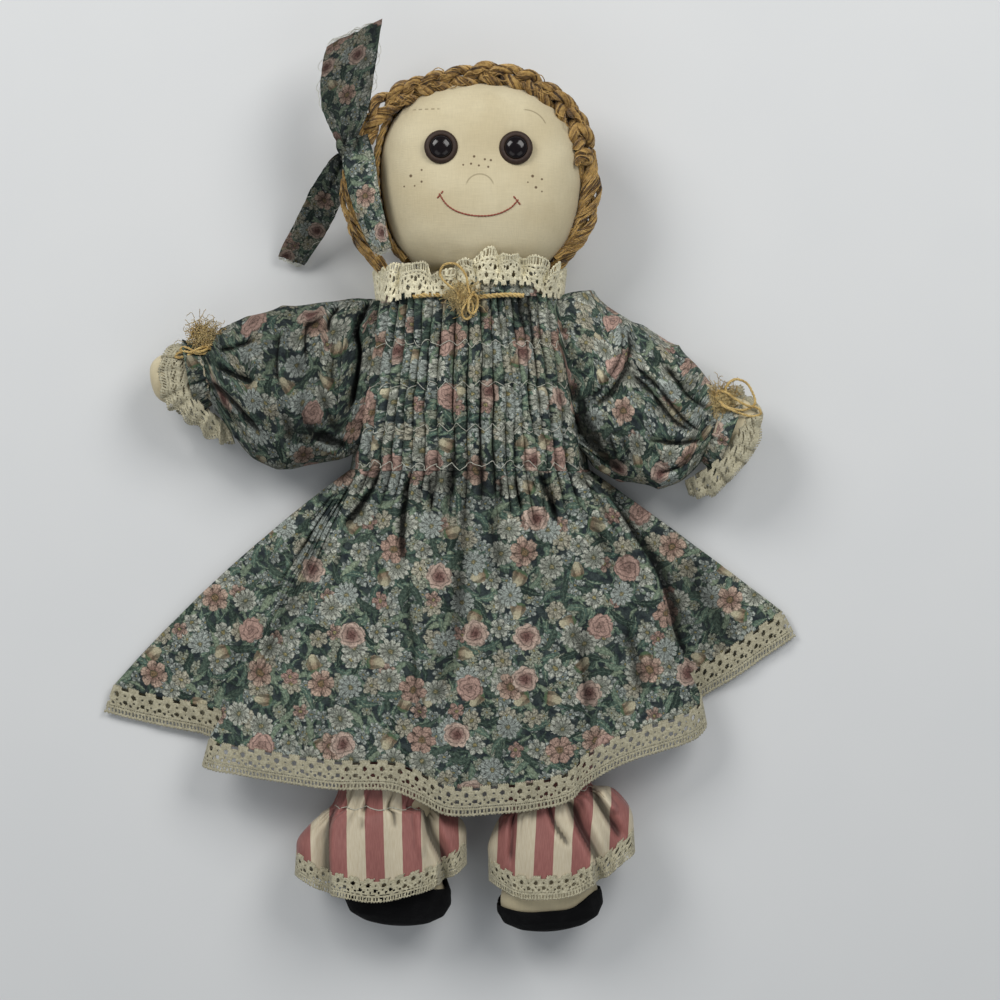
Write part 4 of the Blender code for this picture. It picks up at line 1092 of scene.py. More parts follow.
def make_shirring():
    """Zigzag rows of thread over the pleats, their points a little uneven."""
    lines = []
    for number, row in enumerate(SHIRRING):
        share = np.linspace(0.10, 0.90, 500)
        wave = share * FRONT_LENGTH / 6.3 + 0.7 * waver(share * 9, number, 31)
        swing = zigzag(wave * TAU) * (1.45 + 0.75 * waver(wave * 2, number, 8))
        y = row + swing + 0.7 * waver(share * 5, number, 17)
        points = bodice_point(share, y, depth=3.0)
        points[:, 2] += 0.75
        lines.append(evenly(points[::3], 420))
    threads = make_yarn("shirring_threads", lines, PALE_THREAD, 2, 0.11, 0.09, 900, sides=4)
    settle(threads, "pale_thread", "torso", *(f"shirring_thread_{i}" for i in range(1, 5)))


# The hem's cloth edge from the right wing to the left one. The cloth turns back under the
# front panel near each side.
HEM = np.array([
    (-142.3, -114.2, 2.2), (-129.0, -117.6, 3.2), (-115.4, -120.4, 4.2), (-104.0, -122.6, 5.2),
    (-97.6, -125.6, 8.5), (-98.2, -129.8, 14.0), (-102.4, -133.9, 18.0), (-97.0, -135.9, 22.2),
    (-88.3, -137.2, 25.4), (-68.8, -140.0, 29.6), (-49.7, -142.0, 33.6), (-30.4, -141.8, 36.6),
    (-18.4, -146.3, 36.2), (-7.1, -151.9, 34.6), (10.4, -151.2, 34.4), (25.6, -149.4, 36.6),
    (38.4, -146.0, 36.6), (45.5, -139.6, 33.6), (60.5, -131.6, 29.8), (80.0, -125.9, 23.4),
    (88.2, -122.6, 18.8), (91.4, -117.6, 14.6), (87.0, -112.4, 8.6), (90.4, -107.6, 5.4),
    (101.9, -100.5, 4.2), (113.5, -92.4, 3.2), (124.9, -84.7, 2.2),
])
# The same hem where the cloth doesn't turn back, higher up the skirt.
OPEN_HEM = {3: (-105.5, -125.0, 6.0), 4: (-101.0, -128.0, 9.5), 5: (-97.5, -130.8, 13.5),
            6: (-94.5, -133.4, 17.5), 7: (-91.5, -135.4, 21.5)}
WAIST_SHARES = np.array([
    0.0, 0.018, 0.038, 0.058, 0.076, 0.092, 0.108, 0.126, 0.158, 0.235, 0.310, 0.385, 0.435, 0.485,
    0.550, 0.605, 0.655, 0.700, 0.765, 0.845, 0.880, 0.905, 0.925, 0.945, 0.965, 0.982, 1.0,
])
# Folds of the skirt: the height of each, its reach to the left and the right of the line's own
# way, and x and y of the line's points.
SKIRT_FOLDS = (
    (-6, 3.4, 3, 29.6, -14, 28.6, -30, 32.4, -42, 36.4, -51.5),
    (5, 2.2, 12, 37.2, -22, 48.6, -34.8, 57, -45.6, 65.4, -58, 72.8, -70.2, 77, -82.6, 80, -95,
     84.6, -104.2, 87, -113.6, 87.8, -119),
    (3.2, 1.6, 5, 47, -42, 54.8, -51, 62.4, -61.6, 67, -68.4),
    (-3, 3.4, 3, 52, -40, 60, -50, 66, -60, 71, -71),
    (2.6, 3, 9, 35.8, -84.6, 40.4, -100, 42.6, -121.4, 45.6, -136.8), (1.8, 2, 5, 4, -24, 6.8, -52, 8, -70),
    (-4, 8, 6, -58.4, -49, -61.4, -59.2, -67.6, -73.4, -73.8, -86.2, -79.2, -100.4, -83, -115),
    (-4.6, 2, 4, -23, -28, -25.4, -53, -24, -68),
    (3.6, 9, 2, -20.6, -60, -21.4, -78, -19, -100, -17.4, -131),
    (-4.8, 3, 2.6, -31, -22, -40.6, -40.4, -51.4, -53), (2.6, 5, 2, -40.6, -20, -50, -36, -60, -47),
    (2.2, 5, 8, -95, -70, -95.6, -90, -96.4, -119), (-4, 1.8, 2.4, -13.6, -20, -15, -34, -14, -46),
    (-3.6, 1.6, 2, -5, -20, -6.6, -32, -5.6, -41), (-4, 1.8, 2, 9, -22, 12.4, -33, 12, -44),
    (-4.4, 2, 2.4, 16.4, -20, 18, -34, 22.4, -48), (-3.2, 1.6, 1.8, 22.8, -20, 24, -30, 27.6, -40),
    (-3.6, 1.8, 2, -35, -20, -38, -30, -43, -38), (-3.4, 1.6, 2.2, 35, -21, 42, -30, 50, -38.6),
    (-1.4, 8, 8, -2, -52, -4.4, -84, -8, -120), (-1.5, 8, 7, 24, -56, 27, -90, 30, -130),
    (1.6, 9, 7, -38, -60, -44, -92, -49, -126), (-2.4, 6, 6, 60, -88, 65, -104, 68, -120),
    (1.6, 5, 5, -112, -92, -118, -104, -121, -112),
)

# Where the cloth lies in its own shade: the same kind of lines, with a darkness for the height.
SKIRT_SHADES = (
    (0.55, 13, 13, 80, -58, 92, -76, 101, -94, 106, -110),
    (0.8, 1.2, 1.7, 28.6, -16, 28, -30, 31.6, -42, 37.4, -56),
    (0.55, 1.2, 2.6, -22.6, -26, -25, -50, -24, -68), (0.45, 3, 2.6, -33, -22, -42, -40, -52, -53),
    (0.75, 7, 1.4, 46, -26, 59, -44.5, 67.5, -57, 75, -69.5, 79.4, -82, 82.4, -94.5, 87.6, -110),
    (-0.9, 1.2, 1.7, 44, -29, 57, -45.6, 65.4, -58, 72.8, -70.2, 77, -82.6, 80, -95, 85.2, -110),
    (0.4, 7, 9, -50, -44, -66, -70, -78, -96, -84, -120), (0.32, 9, 6, -4, -60, -8, -90, -12, -128),
    (0.35, 8, 4, 40, -72, 45, -98, 48, -130),
)


LAST_COLUMN = len(HEM) - 1


def waist_share(column):
    return np.interp(column, np.arange(len(WAIST_SHARES)), WAIST_SHARES)


def skirt_point(column, v):
    """A point of the front panel: column counts the hem's points and v runs from 0 to 1 at the hem."""
    column, v = np.broadcast_arrays(np.asarray(column, float), np.asarray(v, float))
    share = waist_share(column)
    top = bodice_point(share, np.full(share.shape, WAIST))
    open_hem = HEM.copy()
    for at, point in OPEN_HEM.items():
        open_hem[at] = point
    hem = through(HEM, column.ravel()).reshape(column.shape + (3,))
    soft = through(open_hem, column.ravel()).reshape(column.shape + (3,))
    turned = (ease(v, 0.55, 1.0) * (v > 0.5))[..., None]
    hem = soft + (hem - soft) * turned
    base = section(front_angle(share), WAIST)
    pleats = (top - base) * (1 - ease(v, 0.0, 0.26))[..., None]
    point = base + (hem - base) * v[..., None] + pleats
    side = np.minimum(column, LAST_COLUMN - column)
    belly = 4 * v * (1 - v)
    point[..., 2] += belly * (2.6 * ease(side, 2, 8) - 1.5 * ease(side, 5, 0))
    point[..., 0] -= belly * 2.6 * ease(column, 4.0, 0.0)
    point[..., 1] += belly * 2.6 * ease(column, 4.0, 0.0)
    point[..., 0] += belly * ease(column, 22.0, 26.0)
    gathers = waver(column * 2.3, v * 1.2, 41) + 0.6 * waver(column * 5.1, v * 1.6, 43)
    gathers = gathers * 2.1 * ease(v, 0.02, 0.16) * (1 - 0.80 * ease(v, 0.2, 0.6))
    point[..., 2] += gathers * ease(side, 0.3, 3)
    push = 4.8 * ease(v, 0.0, 0.10) * ease(v, 0.92, 0.40)
    point[..., 0] += push * ease(column, 18.6, 20.8) * ease(column, 22.0, 21.3)
    near = 1 - 0.45 * ease(v, 0.86, 1.0)
    point[..., 2] += drawn_folds(point, SKIRT_FOLDS) * near * ease(v, 0.0, 0.05)
    seat = np.clip(1 - np.abs(point[..., 0] / 36.5) ** 2.3, 0, 1) ** (1 / 2.3)
    under = np.where(seat > 0, 21.8 + 17.8 * seat, 0) * ease(point[..., 1], -62, -57)
    point[..., 2] = np.maximum(point[..., 2], under)
    rough = waver(column * 3.1, v * 7, 51) * 0.30 + waver(column * 8.3, v * 18, 53) * 0.16
    point[..., 2] += rough * ease(v, 0.1, 0.3)
    point[..., 2] = np.maximum(point[..., 2], 1.9)
    return point


def make_skirt():
    column = np.linspace(0, LAST_COLUMN, 391)[None, :]
    v = np.linspace(0, 1, 120)[:, None] ** 0.9
    points = skirt_point(column, v)
    # Painted shade: darker in the hollows, along the lines of SKIRT_SHADES and down between the gathers
    # under the waist.
    shade = hollows(points, 4, 7) * 0.60 + hollows(points, 12, 18) * 0.22
    shade = np.clip(shade + drawn_folds(points, SKIRT_SHADES), -1, 1)
    share = waist_share(column)
    lines = pleat_groove_shade(share, WAIST + 0 * v) * ease(v, 0.20, 0.03)
    shade = np.maximum(shade, lines)
    front = grid_piece(
        "skirt_front_cloth", points, FLORAL, points[..., :2], middle=(0, -60, -80), wall=0.5, shade=shade
    )
    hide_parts("skirt_front")
    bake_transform(front)

    column = np.linspace(0, LAST_COLUMN, 520)
    line = evenly(skirt_point(column, np.ones(520)), 860)
    above = evenly(skirt_point(column, np.full(520, 0.90)), 860)
    lace = hem_lace(line, above, 12.6, 0.75)
    made = make_lace("hem_lace_front_band", lace)
    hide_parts("hem_lace_front")
    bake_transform(made)


def hem_lace(line, above, height, lift):
    """Rows of points that run down from the hem, on over its edge and a little above the cloth."""
    down = line - above
    reach = np.linalg.norm(down, axis=1, keepdims=True)
    down = down / reach
    kernel = np.hanning(41)
    kernel /= kernel.sum()
    for k in range(3):
        padded = np.pad(down[:, k], 20, mode="edge")
        down[:, k] = np.convolve(padded, kernel, mode="valid")
    down[:, 0] *= 0.42
    down[:, 2] *= 0.55
    down /= np.linalg.norm(down, axis=1, keepdims=True)
    t = np.linspace(-0.9, height, 38)
    rows = line[None] + down[None] * t[:, None, None]
    walked = distances(line)
    droop = 1.1 * (np.clip(t, 0, None) / height)[:, None] ** 1.5 * (1 + waver(walked / 11, 0, 61))[None]
    rows[..., 2] += lift - droop
    rows[..., 2] = np.maximum(rows[..., 2], 0.9)
    return rows


def skirt_back_rows():
    """The back panel, flat on the floor under the legs, and its hem."""
    hem = through(np.array([
        (-141.0, -113.6), (-124.0, -117.6), (-102.0, -122.0), (-57.0, -128.0), (0.0, -132.5),
        (49.0, -124.0), (87.0, -106.5), (104.0, -97.0), (123.6, -84.0),
    ]), np.linspace(0, 8, 240))
    share = np.linspace(0, 1, 240)
    top = np.stack([47.0 * (2 * share - 1), np.full(240, -28.4), np.full(240, 1.0)], axis=1)
    v = np.linspace(0, 1, 60)[:, None, None]
    hem = np.concatenate([hem, np.full((240, 1), 1.0)], axis=1)
    rows = top[None] + (hem - top)[None] * v
    edge = np.clip(np.abs(2 * share - 1) - 0.78, 0, None) / 0.22
    v = v[..., 0]
    rows[..., 2] = 1.0 + 10.6 * (1 - v) ** 2 * edge**1.5
    rows[..., 2] += 0.35 * waver(share * 40, v * 3, 71) * ease(v, 0.05, 0.3) * (edge == 0)
    rows[..., 2] = np.maximum(rows[..., 2], 0.5)
    return rows


def make_skirt_back():
    rows = skirt_back_rows()
    back = grid_piece("skirt_back_cloth", rows, FLORAL, flat_of(rows), middle=(0, -60, 60), wall=0.5)
    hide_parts("skirt_back")
    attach(back, "torso")
    line = evenly(rows[-1][::4], 760)
    above = evenly(rows[-8][::4], 760)
    band = hem_lace(line, above, 10.2, 0.0)
    band[..., 2] = np.maximum(band[..., 2] - 0.1, 0.45)
    lace = make_lace("hem_lace_back_band", band, height=10.2)
    settle(lace, "cotton_lace", "torso", "hem_lace_back")


def make_collar():
    """A band of lace ruffled round the neck, over a short frill of the dress cloth."""
    angles, _ = section_angles(0, TAU, 761)
    turn = np.linspace(0, 1, 761)[None, :]
    t = np.linspace(0, 1, 34)[:, None]
    points = section(angles[None, :], np.full((34, 761), BODICE_TOP - 1.0), grow=0.6 + 1.2 * t)
    facing = ease(points[..., 2], 20, 40)
    x = points[..., 0].copy()
    bare = ease(np.abs(x - 15), 14, 9) * facing
    fan = np.exp(-(((x + 30) / 6) ** 2)) * facing
    phase = turn * TAU * 21 + 2.6 * waver(turn * 21, 0, 85)
    loose = t**0.7
    points[..., 0] += loose * (1.5 * np.cos(phase) + 2.0 * waver(turn * 56, t * 2.2, 81)) * facing
    points[..., 0] += 1.0 * loose * np.sin(phase) * (1 - facing) - 2.4 * fan * (1 - 2 * t)
    rise = 2.0 * np.sin(phase) + 2.2 * waver(turn * 47, t * 1.8, 87)
    points[..., 2] += (0.8 + 1.4 * t + loose * rise) * facing
    height = 12.4 - 1.4 * bare - 2.2 * ease(np.abs(x + 13), 9, 5) * facing + 2.2 * fan
    points[..., 1] = BODICE_TOP - 1.6 + 4.4 * bare - 2.0 * fan + height * t
    points[..., 1] += loose * (1.1 * np.sin(phase + 0.8) + 2.4 * waver(turn * 61, t * 2.0, 83))
    points[..., 1] += 2.2 * t * np.exp(-(((x - 4) / 14) ** 2)) * facing
    points[..., 0] *= 1 - 0.05 * t * (1 - np.abs(points[..., 0]) / 60)
    points[..., 2] = np.maximum(points[..., 2], 0.6)
    across = np.linspace(-150, 150, 761)[None, :]
    flat = np.stack(np.broadcast_arrays(across, -12.2 * t), axis=2)
    lace = make_lace(
        "collar_lace_band", points, repeat=5.2, height=12.2, wall=0.45, flat=flat, material=PALE_LACE
    )
    settle(lace, "cotton_lace", "torso", "collar_lace")

    share = front_share(np.linspace(-2.0, 31.0, 160))[None, :]
    t = np.linspace(0, 1, 16)[:, None]
    points = bodice_point(share + 0 * t, np.full((16, 160), 38.9), depth=2.0)
    wave = waver(share * 46, t * 0.8, 71)
    points[..., 1] += 6.6 * t + 0.7 * wave * t
    points[..., 2] += 0.5 + 0.5 * t + 1.1 * wave * t
    # Painted shade in the frill's hollows and towards its sewn edge, with painted light on its crests.
    shade = np.clip(hollows(points, 3, 4) * 2.0 + 0.25 * (1 - t), -0.6, 1)
    frill = grid_piece(
        "neck_frill_cloth", points, FLORAL, points[..., :2] + np.array((60.0, 0.0)),
        middle=(15, 40, 20), wall=0.4, shade=shade,
    )
    settle(frill, "floral_cotton", "torso")


def make_tuft(name, centre, size, way, spread, count, seed, body):
    """Frayed ends of the gold yarn round a bow's knot. way is where most of them point."""
    chance = np.random.default_rng(seed)
    lines = []
    for _ in range(count):
        n = 16
        t = np.linspace(0, 1, n)
        turn = way + chance.normal(0, spread) + chance.uniform(-1.4, 1.4) * t
        turn = turn + np.cumsum(chance.normal(0, 0.48, n))
        steps = np.column_stack([np.cos(turn), np.sin(turn)]) * size * 1.5 / n * chance.uniform(0.35, 1.0)
        start = chance.normal(0, 0.24, 2) * size - np.array((math.cos(way), math.sin(way))) * size * 0.45
        flat = start + np.cumsum(steps, axis=0)
        off = np.hypot(flat[:, 0], flat[:, 1]) / size
        high = chance.uniform(0.0, 1.0) * size * 0.40
        high = high + 0.5 * np.sin(t * 9 * chance.uniform(0.5, 1)) - 0.9 * off
        lines.append(np.column_stack([centre[0] + flat[:, 0], centre[1] + flat[:, 1], centre[2] + high]))
    tuft = make_yarn(name, lines, TUFT, 3, 0.065, 0.11, 300, sides=3)
    settle(tuft, "gold_yarn", body)


def make_bow(name, node, path, body):
    """A small bow of the gold yarn, along a path."""
    bow = make_yarn(name, [path], GOLD, 3, 0.27, 0.27, 220, fuzz=0.3)
    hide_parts(node)
    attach(bow, body)


def make_drawstring():
    """Gold yarn through the neck casing, knotted in front with a loop and a lobe."""
    share = front_share(np.linspace(-24.5, 24.5, 60))
    points = bodice_point(share, np.full(60, 38.6), depth=1.0)
    points[:, 2] += 1.3
    points[:, 1] += 0.9 * np.sin(np.linspace(0, 9, 60)) * 0.5
    cord = make_yarn("neck_drawstring_yarn", [evenly(points, 140)], GOLD, 3, 0.52, 0.50, 190, fuzz=0.35)
    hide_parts("neck_drawstring")
    tuple(points[0] * MM)
    (evenly(points, 140) * MM).tolist()
    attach(cord, "torso")
    route = [
        (1.0, 38.4, 47.6), (-3.0, 39.6, 48.2), (-8.2, 42.8, 48.8), (-11.0, 46.6, 49.0), (-9.4, 50.2, 49.2),
        (-4.8, 50.4, 49.6), (-1.2, 46.4, 49.8), (-0.2, 41.6, 49.4), (0.8, 37.6, 49.2), (1.6, 33.6, 48.6),
        (0.6, 30.2, 48.2), (-1.6, 29.6, 48.4), (-2.6, 32.2, 49.2), (-0.8, 36.0, 49.9), (1.8, 38.8, 50.0),
        (3.4, 37.2, 49.4), (3.2, 34.0, 48.9), (1.8, 31.4, 49.4), (0.0, 32.6, 50.2), (0.2, 36.4, 50.6),
        (2.0, 40.0, 50.0),
    ]
    path = evenly(route, 230)
    make_tuft("neck_bow_fibres", (-2.2, 36.8, 47.4), 6.6, -1.5, 0.6, 260, 5, "torso")
    make_bow("neck_bow_yarn", "neck_bow", path, "torso")


# ---------------------------------------------------------------- sleeves and arms
SHOULDER = {"right": np.array((-42.0, 24.0, 18.0)), "left": np.array((42.0, 24.0, 18.0))}
SLEEVE_EDGES = {
    "right": (
        (
            (-32, 39.4), (-47, 39.8), (-62.7, 38), (-78.5, 34.4), (-92.4, 29.2), (-100.6, 25.2),
            (-106.4, 20.4),
        ),
        (
            (-42.6, -19), (-53, -24.2), (-64, -25.8), (-75.1, -25.8), (-86, -21.6), (-94.5, -12.4),
            (-101.9, -1),
        ),
    ),
    "left": (
        ((31, 39.6), (45, 43), (57, 35.4), (72, 26.2), (84.9, 17.8), (94, 8.4), (101, -1.8)),
        ((41, -19), (50, -26.6), (61, -32.6), (71.4, -35), (81.6, -33.6), (88, -28.6), (92.4, -23.6)),
    ),
}
SLEEVE_ROWS = {
    "right": (
        (10.5, 18), (15.6, 18), (18.6, 18.2), (18.4, 18.2), (16.6, 18), (12.6, 17.6), (7.4, 17.4),
    ),
    "left": (
        (13.5, 18), (21, 18.2), (20.2, 18.2), (18.6, 18.2), (16.8, 18), (12.6, 17.6), (7.4, 17.4),
    ),
}


def sleeve_point(side, share, turn):
    """A point of the puffed sleeve: share from armhole to wrist, turn from 0 to 1 round it."""
    share, turn = np.broadcast_arrays(np.asarray(share, float), np.asarray(turn, float))
    top, bottom = (np.array(edge) for edge in SLEEVE_EDGES[side])
    at = np.clip(share, 0, 1).ravel() * (len(top) - 1)
    upper = through(top, at).reshape(share.shape + (2,))
    lower = through(bottom, at).reshape(share.shape + (2,))
    half, lift = np.moveaxis(through(np.array(SLEEVE_ROWS[side]), at).reshape(share.shape + (2,)), -1, 0)
    angle = turn * TAU
    power = 0.92 - 0.40 * ease(share, 0.40, 0.0)
    across, upward = rounded(np.cos(angle), power), rounded(np.sin(angle), power)
    middle = (upper + lower) / 2
    point = np.empty(share.shape + (3,))
    point[..., :2] = middle + (upper - lower) / 2 * across[..., None]
    point[..., 2] = lift + half * upward
    return point


def sleeve_folds(side, share, turn):
    """How far the cloth stands off: gathers at both ends and slanting puckers between them."""
    seed = 7 if side == "right" else 19
    round_ = np.cos(turn * TAU), np.sin(turn * TAU)
    long = waver(round_[0] * 2.6 + share * 1.2, round_[1] * 2.6, seed) * 1.7
    drag = waver(round_[0] * 1.7 - share * 5.2, round_[1] * 1.7 + share * 1.4, seed + 3)
    ridge = (1 - np.abs(drag)) ** 3
    root = np.abs(waver(turn * 30, share * 3, seed + 5)) * 2.6 * ease(share, 0.34, 0.02)
    wrist = np.abs(waver(turn * 26, share * 2.5, seed + 9)) * 2.4 * ease(share, 0.62, 0.97)
    fine = waver(round_[0] * 6 + share * 3, round_[1] * 6 + share * 4, seed + 11) * 0.35
    return long * ease(share, 0, 0.3) * ease(share, 1, 0.7) + ridge * 1.9 - 1.2 - root - wrist + fine


# Folds of each sleeve, drawn as those of the skirt are.
SLEEVE_FOLDS = {
    "right": (
        (4.2, 1.6, 7, -57, 35, -60.6, 30.8, -64.4, 28.4, -65.2, 18, -64, 10),
        (-3, 1.2, 6, -73, 27, -74.6, 14, -73.6, 2),
        (-6, 1.8, 3, -37, 40, -43.6, 27, -42.6, 17.4, -45.4, -0.4, -48.9, -10.1),
        (-4.4, 1.4, 5, -103, 8, -94.6, 1.4, -84, -10, -80, -16), (-3.4, 2.4, 3, -101, 13, -91, 8.6, -82, 5),
        (-3, 1.8, 2.4, -101.6, 3, -94, -5, -88, -14), (-2.8, 2, 2.6, -100, 18, -90, 20, -82, 24),
        (-4.4, 4, 4, -60, -13, -52.6, -18, -46, -18), (3, 3, 3, -54, 22, -56, 8, -52, -6, -50, -14),
        (2.2, 5, 4, -86, 20, -82, 8, -84, -6), (2.6, 4, 5, -66, 6, -68, -6, -64, -18),
        (-3.6, 1.8, 2.2, -50, 36, -54, 31, -55, 24),
    ),
    "left": (
        (3.4, 1.6, 8, 57.4, 34, 57.6, 18, 51, 6, 43, 0), (-3.4, 5, 1.4, 61, 30, 62, 17, 56, 4, 47, -5),
        (3.6, 6, 1.8, 58.8, 16.6, 66.2, 12.4, 74.8, 5, 81.4, -3.6, 87.6, -9.8, 96.2, -14.2),
        (-2.4, 1.2, 6, 60, 12, 70, 3, 80, -9, 90, -15), (-6, 4.4, 3, 40, -3, 44, -14, 52.6, -25, 60, -31),
        (2.8, 3, 2, 56, -14, 60, -25), (-2.6, 2.2, 2.6, 95, -6, 84, 2, 76, 14),
        (-3.2, 2.4, 2.8, 93, -16, 80, -18, 68, -16), (-2.6, 1.8, 2.4, 92, -20, 82, -27, 72, -30),
        (2.4, 3, 3.6, 72, 22, 80, 12, 88, 4), (1.8, 2.4, 3, 36.6, 34, 40, 24, 43, 12),
        (2.2, 4, 4, 66, -2, 72, -12, 76, -24),
    ),
}

# Where each sleeve's cloth lies in its own shade.
SLEEVE_SHADES = {
    "right": (
        (0.7, 2.6, 3.4, -38, 42, -43.6, 27, -42.6, 17.4, -45.4, -0.4, -49.4, -13),
        (0.5, 4.5, 5, -64, -12, -54.6, -16, -44, -15), (0.75, 8, 9, -76, -12, -60, -13, -45, -11),
        (0.45, 3, 5, -60, 34, -66, 22, -64, 6), (0.7, 1.8, 4, -105, 8, -94.6, 1.4, -84, -10, -79, -18),
    ),
    "left": (
        (1.1, 4, 4, 40, 8, 43, -3, 46, -12, 51, -20), (0.8, 4, 4, 43, -9, 53, -22, 62, -31),
        (0.55, 9, 9, 44, 2, 52, -14, 68, -29), (0.6, 1.8, 5, 58, 14, 70, 6, 80, -6, 92, -15),
    ),
}


def sleeve_surface(side, share, turn):
    share, turn = np.broadcast_arrays(np.asarray(share, float), np.asarray(turn, float))
    point = sleeve_point(side, share, turn)
    out = sleeve_folds(side, share, turn)
    angle = turn * TAU
    top, bottom = (np.array(edge) for edge in SLEEVE_EDGES[side])
    axis = (top[-1] + bottom[-1]) / 2 - (top[0] + bottom[0]) / 2
    axis /= np.linalg.norm(axis)
    normal = np.array((-axis[1], axis[0])) * (-1 if side == "right" else 1)
    point[..., 0] += out * np.cos(angle) * normal[0]
    point[..., 1] += out * np.cos(angle) * normal[1]
    point[..., 2] += out * np.sin(angle)
    drawn = drawn_folds(point, SLEEVE_FOLDS[side])
    point[..., 2] += drawn * ease(np.sin(angle), 0.0, 0.5) * ease(share, 0.0, 0.06)
    point[..., 2] = np.clip(point[..., 2], 0.6, 44.0)
    return point


def make_sleeve(side):
    sign = -1 if side == "right" else 1
    turn = np.linspace(0, 1, 240, endpoint=False)[None, :]
    split = 0.17
    parts = (
        ("upper", 0.0, split, 40, 0.0, (0.112, 0.016), ("torso", f"shoulder_{side}"), (0.036, 0.047)),
        ("lower", split, 1.0, 140, -14.0, (0.104, 0.066), (f"shoulder_{side}", f"arm_{side}"),
         (0.0535, 0.076)),
    )
    for label, first, last, rows, shift, size, bodies, (near, far) in parts:
        share = np.linspace(first, last, rows)[:, None]
        points = sleeve_surface(side, share, turn)
        flat = flat_of(points, True) + np.array((sign * 40.0, shift))
        # Painted shade in the sleeve's hollows and along its lines of SLEEVE_SHADES, with painted light on
        # its crests, on its upper side only.
        shade = np.clip(hollows(points, 3, 4, True) * 1.3 + hollows(points, 9, 8, True) * 0.45, -1, 1)
        shade = np.clip(shade + drawn_folds(points, SLEEVE_SHADES[side]), -1, 1)
        shade = np.where(points[..., 2] > 18, shade, 0.0)
        piece = grid_piece(
            f"sleeve_{label}_{side}", points, SLEEVE_FLORAL[side], flat, round_=True,
            middle=(sign * 70, 4, 18), wall=0.5, shade=shade,
        )
        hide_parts(f"sleeve_{side}")
        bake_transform(piece)
    make_cuff(side, sign)
    make_wrist_tie(side, sign)


# How high the middle of each wrist lies.
WRIST_Z = 17.4


def wrist_frame(side):
    """The wrist's middle, the way along the arm and the way across it."""
    top, bottom = (np.array(edge[-1]) for edge in SLEEVE_EDGES[side])
    across = (top - bottom) / 2
    along = np.array((across[1], -across[0]))
    along = along / np.linalg.norm(along)
    if along[0] * (-1 if side == "right" else 1) < 0:
        along = -along
    return (top + bottom) / 2, along, across


# The lace frill's sewn edge and free edge over the hand, from the top of the wrist down.
CUFF_EDGES = {
    "right": (
        (
            (-104.6, 21.6), (-106.5, 18), (-108.4, 13), (-108.6, 5.4), (-106.6, 0), (-103.6, -3.4),
            (-99.4, -7.2), (-95, -10.4),
        ),
        (
            (-110, 22.6), (-116, 21.6), (-120.4, 17.6), (-122, 7), (-118.6, -3), (-110, -9.4), (-102, -16),
            (-92.6, -18.2),
        ),
    ),
    "left": (
        (
            (101, 1.6), (104.4, -3.6), (105.2, -9.6), (103.6, -15.6), (99.6, -21.4), (94.6, -26),
            (89.6, -29.6), (84.8, -32.4),
        ),
        (
            (106.6, 5), (111.8, -1), (114.6, -8.6), (113.6, -17), (109, -24.8), (102.6, -31.8),
            (95.6, -38.4), (86.6, -38),
        ),
    ),
}


def make_cuff(side, sign):
    """The cloth past the gathers and the lace frill round the hand."""
    middle, along, across = wrist_frame(side)
    half = np.linalg.norm(across)
    unit = across / half
    inner, outer = (evenly(np.array(edge), 300) for edge in CUFF_EDGES[side])
    s = np.linspace(0, 1, 300)
    rise = np.sin(s * math.pi) ** 0.7
    t = np.linspace(0, 1, 32)[:, None]
    rows = []
    for way in (1, -1):
        phase = s * TAU * 8 + 1.6 * waver(s * 7, way, 91)
        size = (0.6 + 0.4 * waver(s * 14, way, 92)) * t
        height = WRIST_Z + way * (8.6 + 1.6 * np.sin(t * 2.6)) * rise + 1.7 * size * np.sin(phase)
        rows.append(np.stack(np.broadcast_arrays(
            inner[:, 0] + (outer[:, 0] - inner[:, 0]) * t + 0.9 * size * np.cos(phase),
            inner[:, 1] + (outer[:, 1] - inner[:, 1]) * t + 1.2 * size * np.cos(phase),
            height + 1.2 * t * waver(s * 24, t * 2, 94),
        ), axis=2))
    points = np.concatenate([rows[0], rows[1][:, ::-1]], axis=1)
    points[..., 2] = np.maximum(points[..., 2], 0.9)
    lace = make_lace(f"cuff_lace_band_{side}", points, repeat=6.2, height=10.6, wall=0.5)
    settle(lace, "cotton_lace", f"arm_{side}", f"cuff_lace_{side}")

    turn = np.linspace(0, 1, 200, endpoint=False)[None, :]
    t = np.linspace(0, 1, 16)[:, None]
    gather = np.abs(waver(turn * 34, t * 1.2, 93))
    size = 1.0 + 3.4 * t - 1.7 * gather * (1 - 0.3 * t) + 0.2
    wide = (half + size) * np.cos(turn * TAU)
    high = (7.4 + size) * np.sin(turn * TAU)
    points = np.empty(wide.shape + (3,))
    for k in range(2):
        points[..., k] = middle[k] + along[k] * (-1.0 + 7.0 * t) + unit[k] * wide
    points[..., 2] = WRIST_Z + high
    circle = np.linspace(0, 1, 201)[None, :] * 110
    flat = np.stack(np.broadcast_arrays((78 + 8 * t) * sign, circle + sign * 40), axis=2)
    casing = grid_piece(
        f"cuff_casing_{side}", points, SLEEVE_FLORAL[side], flat, round_=True,
        middle=(*middle, WRIST_Z), wall=0.5,
    )
    settle(casing, "floral_cotton", f"arm_{side}")


